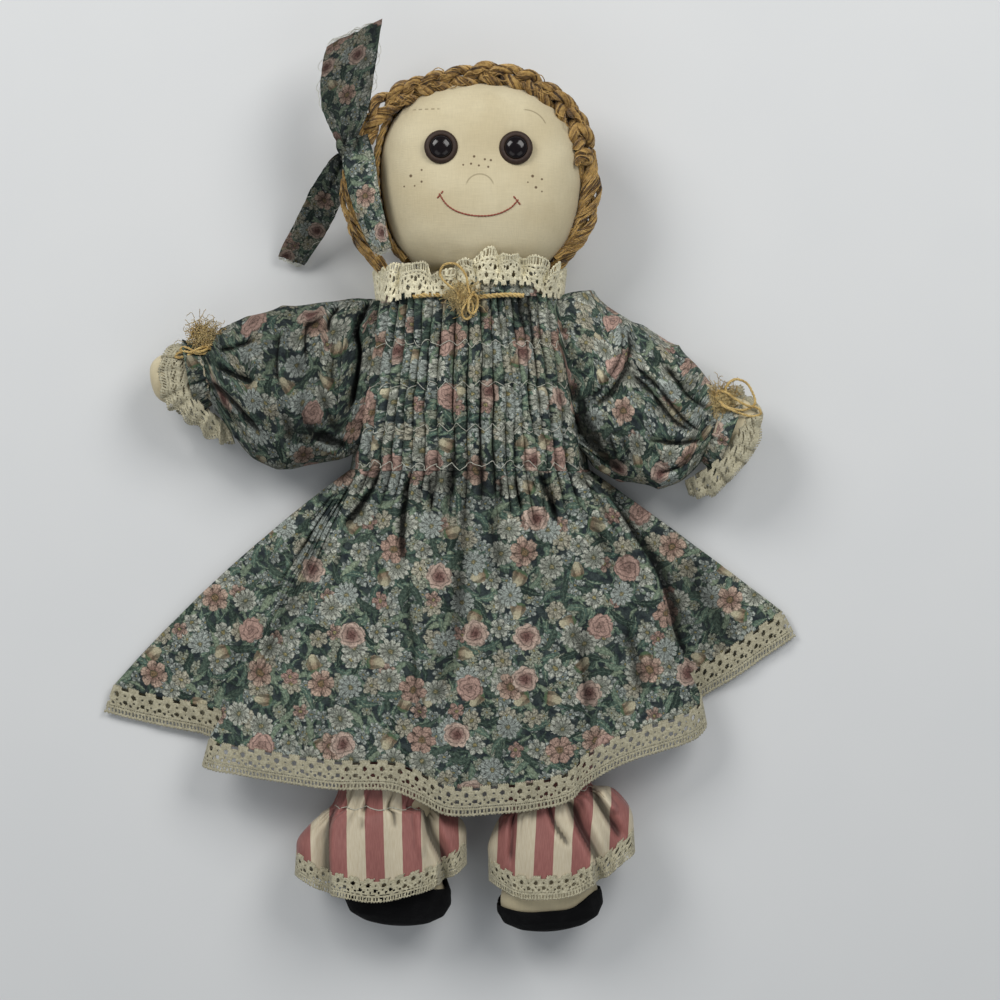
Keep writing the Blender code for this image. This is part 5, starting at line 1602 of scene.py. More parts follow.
def make_wrist_tie(side, sign):
    """Pale gathering threads and the gold yarn with its bow."""
    middle, along, across = wrist_frame(side)
    half = np.linalg.norm(across)
    unit = across / half
    lines = []
    for number, off in enumerate((-0.4, 1.9, 4.0)):
        turn = np.linspace(0, 1, 260)
        wave = waver(turn * 46, number, 95) * 0.5
        radius = 0.6 + wave
        cosine = np.cos(turn * TAU)
        points = np.empty((260, 3))
        for k in range(2):
            points[:, k] = middle[k] + along[k] * (off + wave * 1.4) + unit[k] * (half + radius) * cosine
        points[:, 2] = WRIST_Z + (7.8 + radius) * np.sin(turn * TAU)
        lines.append(points)
    tie = make_yarn(f"wrist_threads_{side}", lines, CREAM_YARN, 2, 0.24, 0.20, 400, sides=4)
    settle(tie, "gold_yarn", f"arm_{side}", f"wrist_tie_{side}")
    if side == "right":
        at = middle + unit * (half * 0.75) + along * 2.0
        scale, lean = (0.50, 0.45, 0.9), (-1.0, -0.35)
        knot, size, way = (-103.4, 25.2, 23.0), 7.6, 1.1
        route = [
            (0, 0, 9), (3.5, 2.4, 10.5), (8, 4.6, 10.8), (12.5, 5.4, 10.0), (14.5, 3.2, 9.5),
            (11.5, 1.0, 10.6),
            (6.5, 0.6, 11.8), (1.5, 0.8, 11.6), (-4, 1.4, 11.0), (-9, 1.2, 10.2), (-13, -1.2, 9.2),
            (-12.6, -3.8, 9.2), (-8.4, -3.4, 10.4), (-3.4, -1.4, 11.8), (1.6, 1.6, 12.6), (6.4, 4.2, 12.0),
            (10.4, 7.2, 10.6), (9.0, 9.2, 10.0), (5.2, 7.2, 10.8), (1.2, 3.4, 12.2), (-2.8, 0.4, 12.8),
            (-7.4, -0.8, 12.2), (-10.6, 0.8, 11.2), (-8.2, 2.8, 11.4), (-3.4, 2.4, 12.6), (0.6, 1.2, 13.2),
        ]
    else:
        at = middle + unit * (half * 0.78) + along * 2.4
        scale, lean = (0.9, 0.9, 1.0), (1.0, 0.0)
        knot, size, way = (100.4, -1.2, 23.4), 7.2, 0.0
        route = [
            (0, 0, 8), (-1.5, 5.0, 9.2), (-2.0, 10.2, 9.6), (1.5, 13.6, 9.4), (6.5, 12.4, 9.4),
            (9.5, 8.0, 9.4),
            (10.6, 3.2, 9.6), (7.0, 0.6, 10.4), (2.5, 0.4, 11.2), (-2.0, 1.8, 11.0), (-5.4, 5.0, 9.8),
            (-5.8, 8.4, 9.4), (-2.2, 8.0, 10.2), (2.6, 4.6, 11.6), (7.0, 2.2, 11.2), (11.6, 1.2, 10.4),
            (13.0, -1.4, 9.8), (9.0, -2.4, 10.6), (4.0, -1.2, 11.8), (-1.0, 0.8, 12.2), (-4.2, 2.4, 11.4),
        ]
    route = np.array(route, float) * np.array(scale)
    points = np.empty((len(route), 3))
    points[:, :2] = at[None, :] + route[:, :1] * np.array(lean)
    points[:, 1] += route[:, 1]
    points[:, 2] = 16.0 + route[:, 2]
    path = evenly(points, 260)
    make_tuft(f"wrist_bow_fibres_{side}", knot, size, way, 0.8, 300, 7 + sign, f"arm_{side}")
    make_bow(f"wrist_bow_yarn_{side}", f"wrist_bow_{side}", path, f"arm_{side}")


# ---------------------------------------------------------------- body, arms and legs
def stuffed_points(start, along, rings, columns=96, rows=70, power=2.3, lumps=0.35, seed=0):
    """Rings round a line: each ring of the table has a distance along, half width and half thickness."""
    start, along = np.array(start, float), np.array(along, float)
    along /= np.linalg.norm(along)
    side = np.cross(along, UP)
    table = through(np.array(rings, float), np.linspace(0, len(rings) - 1, rows))
    table[:, 1:] = np.maximum(table[:, 1:], 0.0)
    angle = np.linspace(0, TAU, columns, endpoint=False)[None, :]
    cosine, sine = np.cos(angle), np.sin(angle)
    across, upward = rounded(cosine, 2 / power), rounded(sine, 2 / power)
    puff = lumps * waver(cosine * 2.1 + table[:, :1] * 0.06, sine * 2.1 + table[:, :1] * 0.05, seed)
    puff = puff * np.minimum(1, table[:, 1:2] / 4)
    wide, high = table[:, 1:2], table[:, 2:3]
    points = start + along * table[:, :1, None]
    points = points + side * ((wide + puff) * across)[..., None] * (wide > 0)[..., None]
    return points + UP * ((high + puff) * upward)[..., None] * (high > 0)[..., None]


def closed_grid(name, points, material, middle, flat=None):
    """A round grid whose first and last rows are single points, merged into closed poles."""
    piece = grid_piece(name, points, material, flat, round_=True, middle=middle)
    weld(piece, 0.00002)
    piece.data.shade_smooth()
    return piece


HEAD_AT = np.array((3.9, 84.4, 27.6))
# Half widths to the right and left of the face's middle, and half thickness, from chin to crown.
HEAD_RINGS = (
    (49, 0, 0, 0), (49.2, 17.5, 18.5, 7.5), (51.2, 24, 25, 13.4), (56, 29.4, 30.4, 17.4),
    (61, 33, 34.2, 20.2), (68, 35.8, 37.2, 22.4), (76, 37.6, 39.2, 23.6), (85, 38.6, 40.2, 24),
    (94, 38.2, 39.7, 23.7), (103, 36, 37.2, 22.2), (111, 31.4, 32, 19.4), (117.5, 24, 24, 15),
    (121.4, 13, 13, 9), (122, 0, 0, 0),
)
HEAD_ROUND = 2 / 2.35
EYES = {"right": (-10.6, 95.4), "left": (18.1, 95.1)}


def head_surface():
    columns, rows = 200, 150
    table = through(np.array(HEAD_RINGS), np.linspace(0, len(HEAD_RINGS) - 1, rows))
    table[:, 1:] = np.maximum(table[:, 1:], 0)
    angle = np.linspace(0, TAU, columns, endpoint=False)[None, :]
    cosine, sine = np.cos(angle), np.sin(angle)
    half = np.where(cosine < 0, table[:, 1:2], table[:, 2:3])
    points = np.empty((rows, columns, 3))
    points[..., 0] = HEAD_AT[0] + half * rounded(cosine, HEAD_ROUND)
    points[..., 1] = table[:, :1]
    points[..., 2] = HEAD_AT[2] + table[:, 3:4] * rounded(sine, HEAD_ROUND)
    x, y = points[..., 0], points[..., 1]
    front = ease(sine, 0.0, 0.5)
    sink = np.zeros_like(x)
    for at_x, at_y in EYES.values():
        away = np.hypot(x - at_x, y - at_y)
        sink += 1.5 * np.exp(-((away / 8.6) ** 2)) + 0.5 * np.exp(-((away / 15) ** 2))
    chin = np.hypot(x - 4.0, y - 6.3)
    middle = ease(np.abs(x - 4), 26, 12)
    crease, swell = np.exp(-(((chin - 48.6) / 1.8) ** 2)), np.exp(-(((chin - 45.0) / 2.6) ** 2))
    sink += middle * (0.16 * crease - 0.15 * swell)
    sink -= 1.0 * np.exp(-(((x - 4.2) / 15) ** 2 + ((y - 72) / 13) ** 2))
    sink += 0.35 * waver(x * 0.06, y * 0.06, 3) + 0.18 * waver(x * 0.16, y * 0.16, 4)
    points[..., 2] -= sink * front
    return points


def front_height(points, x, y):
    """The height of the head's front over a place."""
    front = points[:, : points.shape[1] // 2].reshape(-1, 3)
    away = np.hypot(front[:, 0] - x, front[:, 1] - y)
    near = np.argsort(away)[:4]
    return float(np.average(front[near, 2], weights=1 / (away[near] + 0.05)))


def make_head():
    points = head_surface()
    head = closed_grid("head_cloth", points, FACE, HEAD_AT)
    settle_padded(head, 0.9, "head", "head_skin", "head_filling")
    rings = ((0, 0, 0), (1.0, 9, 8), (4.0, 15, 13), (8.0, 17, 15.5), (12.0, 16, 14), (16, 9, 8), (17, 0, 0))
    neck = closed_grid(
        "neck_cloth", stuffed_points((2.0, 41.5, 23.6), (0, 1, 0), rings, 72, 40, seed=5), CALICO,
        (2.0, 50.0, 24.0),
    )
    settle_padded(neck, 0.7, "neck", "neck")
    for side, (x, y) in EYES.items():
        make_eye(side, x, y, front_height(points, x, y))
    make_mouth(points)


def turned(profile, centre, steps=64):
    """Rows of points turned about an upright line."""
    angle = np.linspace(0, TAU, steps, endpoint=False)
    profile = np.array(profile, float)
    points = np.empty((len(profile), steps, 3))
    points[..., 0] = centre[0] + profile[:, :1] * np.cos(angle)
    points[..., 1] = centre[1] + profile[:, :1] * np.sin(angle)
    points[..., 2] = centre[2] + profile[:, 1:2]
    return points


def make_eye(side, x, y, base):
    """A moulded button: a glossy dome set in a rolled rim."""
    rows = np.linspace(0, 1, 26)
    dome = [(4.35 * math.sin(a * math.pi / 2), 2.4 + 1.9 * math.cos(a * math.pi / 2)) for a in rows]
    dome += [(4.35, 1.2), (3.8, 0.8), (0.0, 0.8)]
    piece = closed_grid(f"eye_dome_{side}", turned(dome, (x, y, base)), EYE_DOME, (x, y, base + 2))
    settle(piece, "eye_plastic", "head", f"eye_{side}")
    ring = [
        (5.35 + 1.15 * math.cos(a), 1.5 + 1.2 * math.sin(a) - 0.35 * math.cos(a))
        for a in np.linspace(0, TAU, 33)[:-1]
    ]
    points = turned(ring + ring[:1], (x, y, base))
    rim = grid_piece(f"eye_rim_{side}", points, EYE_RIM, round_=True)
    weld(rim, 0.00001, turn_out=True)
    settle(rim, "eye_plastic", "head")


def make_mouth(points):
    """Backstitches along the smile, with a short stitch across each end."""
    smile = evenly([
        (-11.0, 76.9), (-9.6, 74.6), (-7.9, 72.7), (-5.4, 71.0), (-2.6, 69.9), (0.8, 69.1), (4.3, 68.8),
        (8.4, 69.0), (12.0, 69.9), (14.6, 71.1), (16.6, 72.4), (18.6, 74.6),
    ], 80)
    ticks = ([(-11.6, 76.2), (-10.2, 77.9)], [(17.6, 75.9), (19.4, 73.7)])
    lines = []
    for line in (smile, *(evenly(tick, 8) for tick in ticks)):
        z = [front_height(points, x, y) + 0.12 for x, y in line]
        lines.append(np.column_stack([line, z]))
    mouth = STITCHES.grow(
        "mouth_stitches", curve_of("mouth_line", lines), Pitch=1.25 * MM, Stitch_length=1.5 * MM,
        Thread_radius=0.35 * MM, Finish=MOUTH_THREAD,
    )
    settle(mouth, "mouth_thread", "head", "mouth_thread")


PLAIT_PATH = np.array([
    (-40.2, 99.0, 35.5), (-38.8, 105.4, 36.8), (-34.2, 111.8, 36.8), (-27.0, 116.6, 36.4),
    (-17.1, 120.4, 36.2), (-5.5, 123.2, 36.0), (4.2, 125.0, 36.0), (12.6, 124.8, 36.0),
    (20.4, 123.0, 36.0), (28.4, 119.0, 36.0),
    (37.0, 111.8, 36.2), (42.6, 103.0, 36.6), (44.6, 96.4, 36.6),
])


def outward(path):
    """The way out from the middle of the head, across a path of points."""
    along = np.gradient(path, axis=0)
    along /= np.linalg.norm(along, axis=1, keepdims=True)
    out = np.cross(along, UP)
    out /= np.linalg.norm(out, axis=1, keepdims=True)
    away = (path[:, :2] - HEAD_AT[:2]) * out[:, :2]
    return out * np.sign(away.sum())


def make_plait():
    count = 560
    path = evenly(PLAIT_PATH, count)
    out = outward(path)
    s = np.linspace(0, length_of(path), count)
    for strand in range(3):
        phase = TAU * (s / 25.5 + strand / 3) + 0.7 * waver(s / 14, strand, 13)
        wide = 3.1 - 0.9 * ease(s, 100, 150) - 0.8 * ease(s, 14, 0) + 0.35 * waver(s / 8, strand, 23)
        line = path + out * (wide * np.sin(phase))[:, None] + UP * (2.2 * np.sin(2 * phase))[:, None]
        taper = 1.0 + 0.22 * waver(s / 4.5, strand * 3.1, 33) - 0.22 * ease(s, 105, 150)
        taper = taper - 0.25 * ease(s, 10, 0)
        core = make_yarn(
            f"plait_strand_fibres_{strand + 1}", [line], HAIR, 22, 0.29, 1.75, 62, sides=4, fuzz=0.6,
            tapers=[taper],
        )
        settle(core, "hair_yarn", "head", f"plait_strand_{strand + 1}")
    # Loose fibres that stray from the plait.
    strays = []
    for k in range(46):
        a = int(20 + (k * 97) % (count - 60))
        n = 26
        t = np.linspace(0, 1, n)
        swell = np.sin(t * math.pi)
        side = waver(k * 1.7, 0, 5) * 5.2 + 1.6 * swell * (1 if k % 2 else -1)
        rise = 3.2 + 1.3 * swell + 0.6 * waver(k, t * 3, 7)
        strays.append(path[a : a + n] + out[a : a + n] * side[:, None] * 0.8 + rise[:, None] * UP)
    loose = make_yarn("plait_stray_fibres", strays, HAIR, 2, 0.12, 0.10, 200, sides=4)
    settle(loose, "hair_yarn", "head")
    # The knot that ends the plait at the left temple.
    turn = np.linspace(0, TAU * 1.6, 90)
    middle = np.array((44.4, 94.0, 38.0))
    knot = middle + np.column_stack([
        2.1 * np.cos(turn), 1.1 * np.sin(turn) - turn * 0.35, 1.2 + 0.9 * np.cos(turn * 0.7),
    ])
    wrap = make_yarn("plait_end_knot", [knot], HAIR, 12, 0.36, 1.25, 70, sides=4, fuzz=0.8)
    settle(wrap, "hair_yarn", "head")


LOCKS = {
    "left": (
        (44.6, 95, 34.6), (46.6, 87, 34.2), (47, 79, 33.4), (45.8, 71, 32.6), (42.2, 63, 31.6),
        (37.2, 55.6, 30.4), (32.2, 49.8, 29), (29.4, 46.6, 28.2),
    ),
    "right": (
        (-42.4, 96, 34.5), (-45.2, 88, 33.5), (-46, 80, 32.5), (-45, 71.5, 31.5), (-41.8, 63, 30.4),
        (-37.4, 55.4, 29), (-33.6, 49.6, 27.4), (-31.6, 46.4, 26.6),
    ),
}


def make_locks():
    for side, path in LOCKS.items():
        count = 150
        base = evenly(np.array(path), count)
        out = outward(base)
        s = np.linspace(0, 1, count)
        lines, tapers = [], []
        for k in range(15):
            inner = k >= 11
            phase = TAU * (k / 11 + s * (1.6 if side == "left" else 1.2)) + 0.7 * waver(s * 3, k, 43)
            spread = (1.0 if inner else 2.7) * (1 - 0.55 * ease(s, 0.55, 1.0))
            spread = spread * (1 + 0.25 * waver(s * 4, k, 47))
            line = base + out * (spread * np.cos(phase) * 1.15)[:, None]
            line = line + UP * (spread * 0.85 * np.sin(phase))[:, None]
            if inner:
                line = line - out * (1.6 + 0.5 * (k - 11)) * (1 - 0.5 * s)[:, None] - UP * 2.0
            keep = count - int(10 * abs(float(waver(k * 2.3, 0, 49))) * 2)
            lines.append(line[:keep])
            tapers.append((1.0 - 0.62 * ease(s, 0.62, 1.0) + 0.16 * waver(s * 7, k, 51))[:keep])
        lock = make_yarn(
            f"hair_lock_fibres_{side}", lines, HAIR, 8, 0.24, 0.72, 60, sides=4, fuzz=0.6, tapers=tapers
        )
        settle(lock, "hair_yarn", "head", f"hair_lock_{side}")


def make_back_hair():
    """Strands laid side by side over the back of the head, from the crown down to the nape."""
    lines, tapers = [], []
    count, rows = 58, 74
    table = np.array([*HEAD_RINGS[2:-1], (122.6, 3.0, 3.0, 2.2)])
    ring = through(table, np.linspace(0.0, len(table) - 1.0, rows))
    for k in range(count):
        share = k / (count - 1)
        angle = math.pi + math.pi * (share * 1.10 - 0.05)
        swing = angle + 0.05 * waver(k * 1.3, np.linspace(0, 3, rows), 57)
        cosine, sine = np.cos(swing), np.sin(swing)
        half = np.where(cosine < 0, ring[:, 1], ring[:, 2])
        grow = 2.0 + 0.35 * waver(k * 2.1, np.linspace(0, 4, rows), 59)
        points = np.column_stack([
            HEAD_AT[0] + (half + grow) * rounded(cosine, HEAD_ROUND),
            ring[:, 0] + 1.2 * ease(ring[:, 0], 100, 120),
            HEAD_AT[2] + (ring[:, 3] + grow) * rounded(sine, HEAD_ROUND),
        ])
        points[:, 2] += 5.0 * ease(ring[:, 0], 117, 122.4)
        points[:, 2] = np.maximum(points[:, 2], 1.5)
        lines.append(points[4:])
        tapers.append((1.0 - 0.3 * ease(ring[:, 0], 110, 120) - 0.3 * ease(ring[:, 0], 60, 53))[4:])
    hair = make_yarn("back_hair_strands", lines, HAIR, 4, 0.62, 0.72, 60, sides=4, fuzz=0.5, tapers=tapers)
    settle(hair, "hair_yarn", "head", "hair_back")


# Torn strips of the bow: the left and right edges of each, from the knot to its cut end.
TAILS = {
    "upper": (
        ((-49.2, 96, 41.8), (-52.6, 101.5, 43), (-56.6, 111, 41), (-57.4, 123, 38), (-55.4, 136.4, 34.5)),
        ((-44.6, 97, 43.4), (-41.6, 103, 43.6), (-38.6, 112, 41), (-36.4, 128, 36.5), (-33.8, 147, 33)),
    ),
    "outer": (
        ((-49.6, 95, 37), (-54, 92, 34), (-61.5, 82.5, 26), (-68.6, 70.5, 15), (-76.6, 57.4, 4.6)),
        ((-46.6, 90, 37), (-47.4, 84.5, 33.5), (-51, 75, 24), (-57, 65.5, 13), (-66, 53.4, 4)),
    ),
    "face": (
        ((-48.6, 96.5, 42), (-48.4, 88, 41.5), (-45.6, 76, 40), (-41.6, 65, 39), (-36.8, 55.4, 38.6)),
        ((-39, 101.4, 43), (-36.4, 92, 44.2), (-34.6, 80, 44.6), (-32.6, 69, 44.4), (-30, 57, 43.4)),
    ),
}


def make_ribbon():
    for name, (left, right) in TAILS.items():
        rows, columns = 90, 44
        a, b = evenly(np.array(left), rows), evenly(np.array(right), rows)
        t = np.linspace(0, 1, columns)[None, :, None]
        points = a[:, None] * (1 - t) + b[:, None] * t
        v, u = np.linspace(0, 1, rows)[:, None], t[..., 0]
        crease = np.sin(u * math.pi) * (2.0 if name == "upper" else 1.3) * (1 - 0.4 * v)
        crease = crease + 1.1 * waver(u * 2.2, v * 2.4, len(name)) * np.sin(u * math.pi)
        crease = crease + 0.25 * waver(u * 9, v * 12, 3)
        crease = crease - 1.6 * np.exp(-(((u - 0.56 + 0.1 * v) / 0.10) ** 2)) * ease(v, 0.65, 0.15)
        points[..., 2] += crease
        points[..., 0] += 0.25 * waver(v * 26, u * 0.5, 5) * np.abs(2 * u - 1)
        points[..., 1] += 0.5 * waver(u * 14, v, 6) * ease(v, 0.9, 1.0)
        points[..., 2] = np.maximum(points[..., 2], 0.8)
        width = length_of(np.stack([a[60], b[60]]))
        long = (length_of(a) + length_of(b)) / 2
        flat = np.stack(np.broadcast_arrays((u - 0.5) * width * 1.4 + 300, -v * long * 1.3), axis=2)
        cloth = FLORAL if name == "face" else BOW_FLORAL
        # Painted shade on each tail, darkest at the knot and gone a fifth of the way along.
        shade_near_knot = 0.8 * ease(v, 0.22, 0.0) + 0 * u
        tail = grid_piece(
            f"ribbon_tail_cloth_{name}", points, cloth, flat, middle=(-45, 90, -60), wall=0.45,
            shade=shade_near_knot,
        )
        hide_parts(f"ribbon_tail_{name}")
        area = float(cloth_area(points)) * MM * MM
        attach(tail, "head")
    make_ribbon_knot()
    make_frays()


def make_ribbon_knot():
    """The middle of the bow, a short gathered tube closed at both ends."""
    rows, columns = 40, 60
    v = np.linspace(0, 1, rows)[:, None]
    turn = np.linspace(0, TAU, columns, endpoint=False)[None, :]
    swell = np.sin(v * math.pi) ** 0.55
    fold = 1 + 0.16 * np.sin(turn * 5 + v * 3) * np.sin(v * math.pi)
    fold = fold + 0.08 * waver(np.cos(turn) * 3, np.sin(turn) * 3, 4)
    points = np.empty((rows, columns, 3))
    points[..., 0] = -46.4 + 5.0 * swell * fold * np.cos(turn)
    points[..., 1] = 91.2 + 12.4 * v + 0 * turn
    points[..., 2] = 40.2 + 4.4 * swell * fold * np.sin(turn)
    flat = np.stack(np.broadcast_arrays(np.linspace(0, 30, columns + 1)[None, :] + 340, v * 14), axis=2)
    knot = closed_grid("ribbon_knot_cloth", points, BOW_FLORAL, (-46.4, 97.4, 40.2), flat)
    settle(knot, "floral_cotton", "head", "ribbon_knot")


def cloth_area(points):
    a, b, c, d = points[:-1, :-1], points[:-1, 1:], points[1:, 1:], points[1:, :-1]
    return np.linalg.norm(np.cross(c - a, d - b), axis=2).sum() / 2


def make_frays():
    """Loose threads along the torn edges of the bow."""
    lines = []
    for number, (left, right) in enumerate(TAILS.values()):
        end = evenly(np.array((left[-1], right[-1])), 60)
        sides = (evenly(np.array(left), 90)[30:], evenly(np.array(right), 90)[30:], end, end)
        for k, edge in enumerate(sides):
            for j in range(4 + 5 * (k >= 2)):
                at = int(abs(float(waver(j * 3.3 + k, number, 61))) * (len(edge) - 12))
                n = 12
                t = np.linspace(0, 1, n)
                base = edge[at : at + n]
                away = base[:, :2] - np.array((-46.0, 98.0))
                away /= np.linalg.norm(away, axis=1, keepdims=True)
                if k < 2:
                    away = np.column_stack([-away[:, 1], away[:, 0]]) * (1 if k == 0 else -1)
                curl = np.sin(t * math.pi) * (0.8 + 1.2 * abs(float(waver(j, k, 63))))
                line = base.copy()
                line[:, :2] += away * curl[:, None] * (1.0 if k < 2 else 0.8)
                line[:, 2] += 0.3 + 0.5 * np.sin(t * 5 + j)
                line[:, 2] = np.maximum(line[:, 2], 0.5)
                lines.append(line)
    frays = make_yarn("ribbon_frayed_threads", lines, PALE_THREAD, 2, 0.07, 0.05, 200, sides=3)
    settle(frays, "floral_cotton", "head")


def make_torso():
    rings = ((0, 0, 0), (1, 14, 9), (5, 24, 14), (14, 32, 16.5), (34, 33.5, 17.2), (60, 34, 17.2),
             (86, 34.5, 15.6), (98, 28, 11), (103, 15, 5), (104, 0, 0))
    body = closed_grid(
        "torso_body", stuffed_points((0, 42.2, 20.6), (0, -1, 0), rings, seed=9), CALICO, (0, -10, 20)
    )
    settle_padded(body, 0.8, "torso", "torso_skin", "torso_filling")
    rings = ((75, 36.0, 17.6), (80, 36.2, 17.6), (90, 34.6, 15.8), (98.5, 30.0, 12.0))
    points = stuffed_points((0, 42.2, 20.8), (0, -1, 0), rings, 120, 24, lumps=0.6, seed=11)
    points[..., 2] = np.maximum(points[..., 2], 2.0)
    seat = grid_piece(
        "bloomers_seat_cloth", points, STRIPES, flat_of(points, True), round_=True,
        middle=(0, -45, 20), wall=0.5,
    )
    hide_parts("bloomers_seat")
    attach(seat, "torso")


def make_tabs():
    """The flat sewn joints of the limbs: quilted discs of cloth."""
    for side, sign in (("right", -1), ("left", 1)):
        for name, body, centre, radius, thick in (
            (f"shoulder_tab_{side}", f"shoulder_{side}", (sign * 42.0, 24.0, 18.0), 9.0, 1.5),
            (f"hip_tab_{side}", "lap", (sign * 21.0, -67.1, 16.6), 7.0, 1.5),
        ):
            profile = [(0, thick), (radius * 0.5, thick), (radius * 0.85, thick * 0.85), (radius, 0.3),
                       (radius, -0.3), (radius * 0.85, -thick * 0.85), (radius * 0.5, -thick), (0, -thick)]
            tab = closed_grid(f"{name}_cloth", turned(profile, centre, 40), CALICO, centre)
            settle(tab, "calico", body, name)


def make_arms():
    for side, sign, drop in (("right", -1, 12.0), ("left", 1, 27.0)):
        angle = math.radians(drop)
        along = np.array((sign * math.cos(angle), -math.sin(angle), 0))
        start = SHOULDER[side] + along * 8.8
        trim = 0.93 if side == "left" else 0.99
        rings = ((0, 0, 0), (0.8, 3.4, 2.8), (4, 5.0, 4.4), (10, 6.2, 5.6), (20, 7.6, 6.8),
                 (32, 8.6, 7.8), (44, 8.6, 7.8), (56, 7.2, 6.6), (63, 8.4, 7.2), (69, 9.8, 7.8),
                 (73.5, 8.8, 7.0), (76.4, 5.6, 4.6), (77.4, 0, 0))
        rings = [(a * trim, b, c) for a, b, c in rings]
        points = stuffed_points(start, along, rings, 72, 80, seed=13 + sign)
        arm = closed_grid(f"arm_body_{side}", points, CALICO, SHOULDER[side] + along * 45)
        settle_padded(arm, 0.8, f"arm_{side}", f"arm_skin_{side}", f"arm_filling_{side}")


def leg_frame(sign, splay):
    angle = math.radians(splay)
    along = np.array((sign * math.sin(angle), -math.cos(angle), 0.0))
    return np.array((sign * 21.0, -67.1, 16.6)), along


def make_legs():
    for side, sign in (("right", -1), ("left", 1)):
        hip, along = leg_frame(sign, 3.2 if side == "right" else 4.6)
        rings = ((6.2, 0, 0), (7.0, 5.0, 4.0), (12, 10.5, 9.4), (20, 13.0, 11.4), (48, 14.2, 12.6),
                 (88, 12.2, 11.4), (112, 12.6, 11.0), (120, 15.6, 12.0), (127, 19.0, 13.2),
                 (134, 18.6, 12.4), (138.4, 12.0, 8.0), (139.4, 0, 0))
        points = stuffed_points(hip, along, rings, 80, 96, seed=17 + sign)
        leg = closed_grid(f"leg_body_{side}", points, CALICO, hip + along * 70)
        settle_padded(leg, 0.8, f"leg_{side}", f"leg_skin_{side}", f"leg_filling_{side}")
        make_shoe(side, hip, along)
        make_bloomer(side)


def make_shoe(side, hip, along):
    """A soft slipper over the toes, its top edge dipping over the instep."""
    rows, columns = 44, 140
    turn = np.linspace(0, TAU, columns, endpoint=False)[None, :]
    v = np.linspace(0, 1, rows)[:, None]
    top = ease(np.sin(turn), 0.0, 0.45)
    edge = 121.5 + top * 3.0
    if side == "left":
        edge = 127.5 + top * 6.4 * ease(np.abs(np.cos(turn)), 1.0, 0.2)
        edge = edge + 3.6 * ease(np.cos(turn), 0.2, 0.9) * ease(np.sin(turn), -0.6, 0.0)
    far = 143.4 if side == "left" else 141.0
    at = edge + (far - edge) * v**0.8
    table = np.array((
        (-28, 15.6, 12.2), (-20, 18.6, 13.2), (-15, 20.8, 14.0), (-9.6, 21.0, 14.0), (-5, 18.6, 12.2),
        (-1.8, 12.6, 8.4), (-0.3, 5.0, 3.4), (0, 0, 0),
    ))
    wide = np.interp(at - far, table[:, 0], table[:, 1])
    high = np.interp(at - far, table[:, 0], table[:, 2])
    for _ in range(2):
        for grid in (wide, high):
            grid[1:-1] = grid[:-2] * 0.25 + grid[1:-1] * 0.5 + grid[2:] * 0.25
    cosine, sine = np.cos(turn), np.sin(turn)
    across, upward = rounded(cosine, 2 / 2.3), rounded(sine, 2 / 2.3)
    rough = 0.12 * waver(cosine * 12 + at * 0.3, sine * 12 + at * 0.3, 19)
    side_way = np.cross(along, UP)
    points = hip + along * at[..., None] + side_way * ((wide + rough) * across)[..., None]
    points = points + UP * ((high + rough) * upward)[..., None]
    points[-1] = hip + along * far
    shoe = closed_grid(f"shoe_felt_{side}", points, FELT, hip + along * 130)
    thicken(shoe, 0.7, -1)
    settle(shoe, "black_felt", f"leg_{side}", f"shoe_{side}")


# The bloomers' outline seen from the front, for each side: the outer and inner edges at rows
# down the leg, then half thickness and the height of the middle.
BLOOMER_ROWS = {
    "right": (
        ((-36, -66), (-3.5, -66), 15.5, 17), ((-42, -90), (-5, -90), 16, 17.2),
        ((-45, -120), (-8, -120), 15.8, 17), ((-49.5, -146), (-13, -148), 15.2, 17),
        ((-53.5, -159), (-17, -160), 14.2, 17.2), ((-58.4, -163.5), (-10, -161.5), 15.4, 17.4),
        ((-63.2, -168), (-4.6, -165), 16.4, 17.6), ((-67.2, -173.2), (-1.6, -169.6), 17.2, 18),
        ((-67.6, -178.4), (-1.4, -174.6), 17.4, 18.2),
    ),
    "left": (
        ((3.5, -66), (36, -66), 15.5, 17), ((5, -90), (42, -90), 16, 17.2),
        ((8, -120), (45, -120), 15.8, 17), ((12, -146), (49, -142), 15.2, 17),
        ((14.6, -161), (48, -152), 14.2, 17.2), ((11.8, -165), (55.6, -153.5), 15.4, 17.4),
        ((9.4, -170.4), (60.8, -157.8), 16.4, 17.6), ((8.4, -176), (63.8, -162.6), 17.2, 18),
        ((9, -182), (64.4, -168.6), 17.4, 18.2),
    ),
}
BLOOMER_FOLDS = {
    "right": (
        (-5.6, 2, 7, -50, -156, -55, -168, -54.6, -190, -53, -200),
        (-6.4, 6, 2.2, -18, -156, -15.6, -170, -11, -180, -7, -192),
        (2.2, 2, 3, -20, -158, -19, -170, -18, -180), (-0.9, 2, 2, -40, -158, -42, -170),
        (-0.8, 2, 2, -30, -158, -29, -169),
    ),
    "left": (
        (-6, 6, 2.4, 37, -152, 42, -166, 50, -181, 54, -192), (-5, 4.4, 2, 45, -150, 53, -163, 60, -174),
        (-3, 2.4, 2, 30, -154, 33, -166, 40, -176), (2.6, 2, 2, 50, -152, 58, -163),
        (-2.4, 2.4, 2.4, 18, -160, 17, -170, 16, -184),
    ),
}


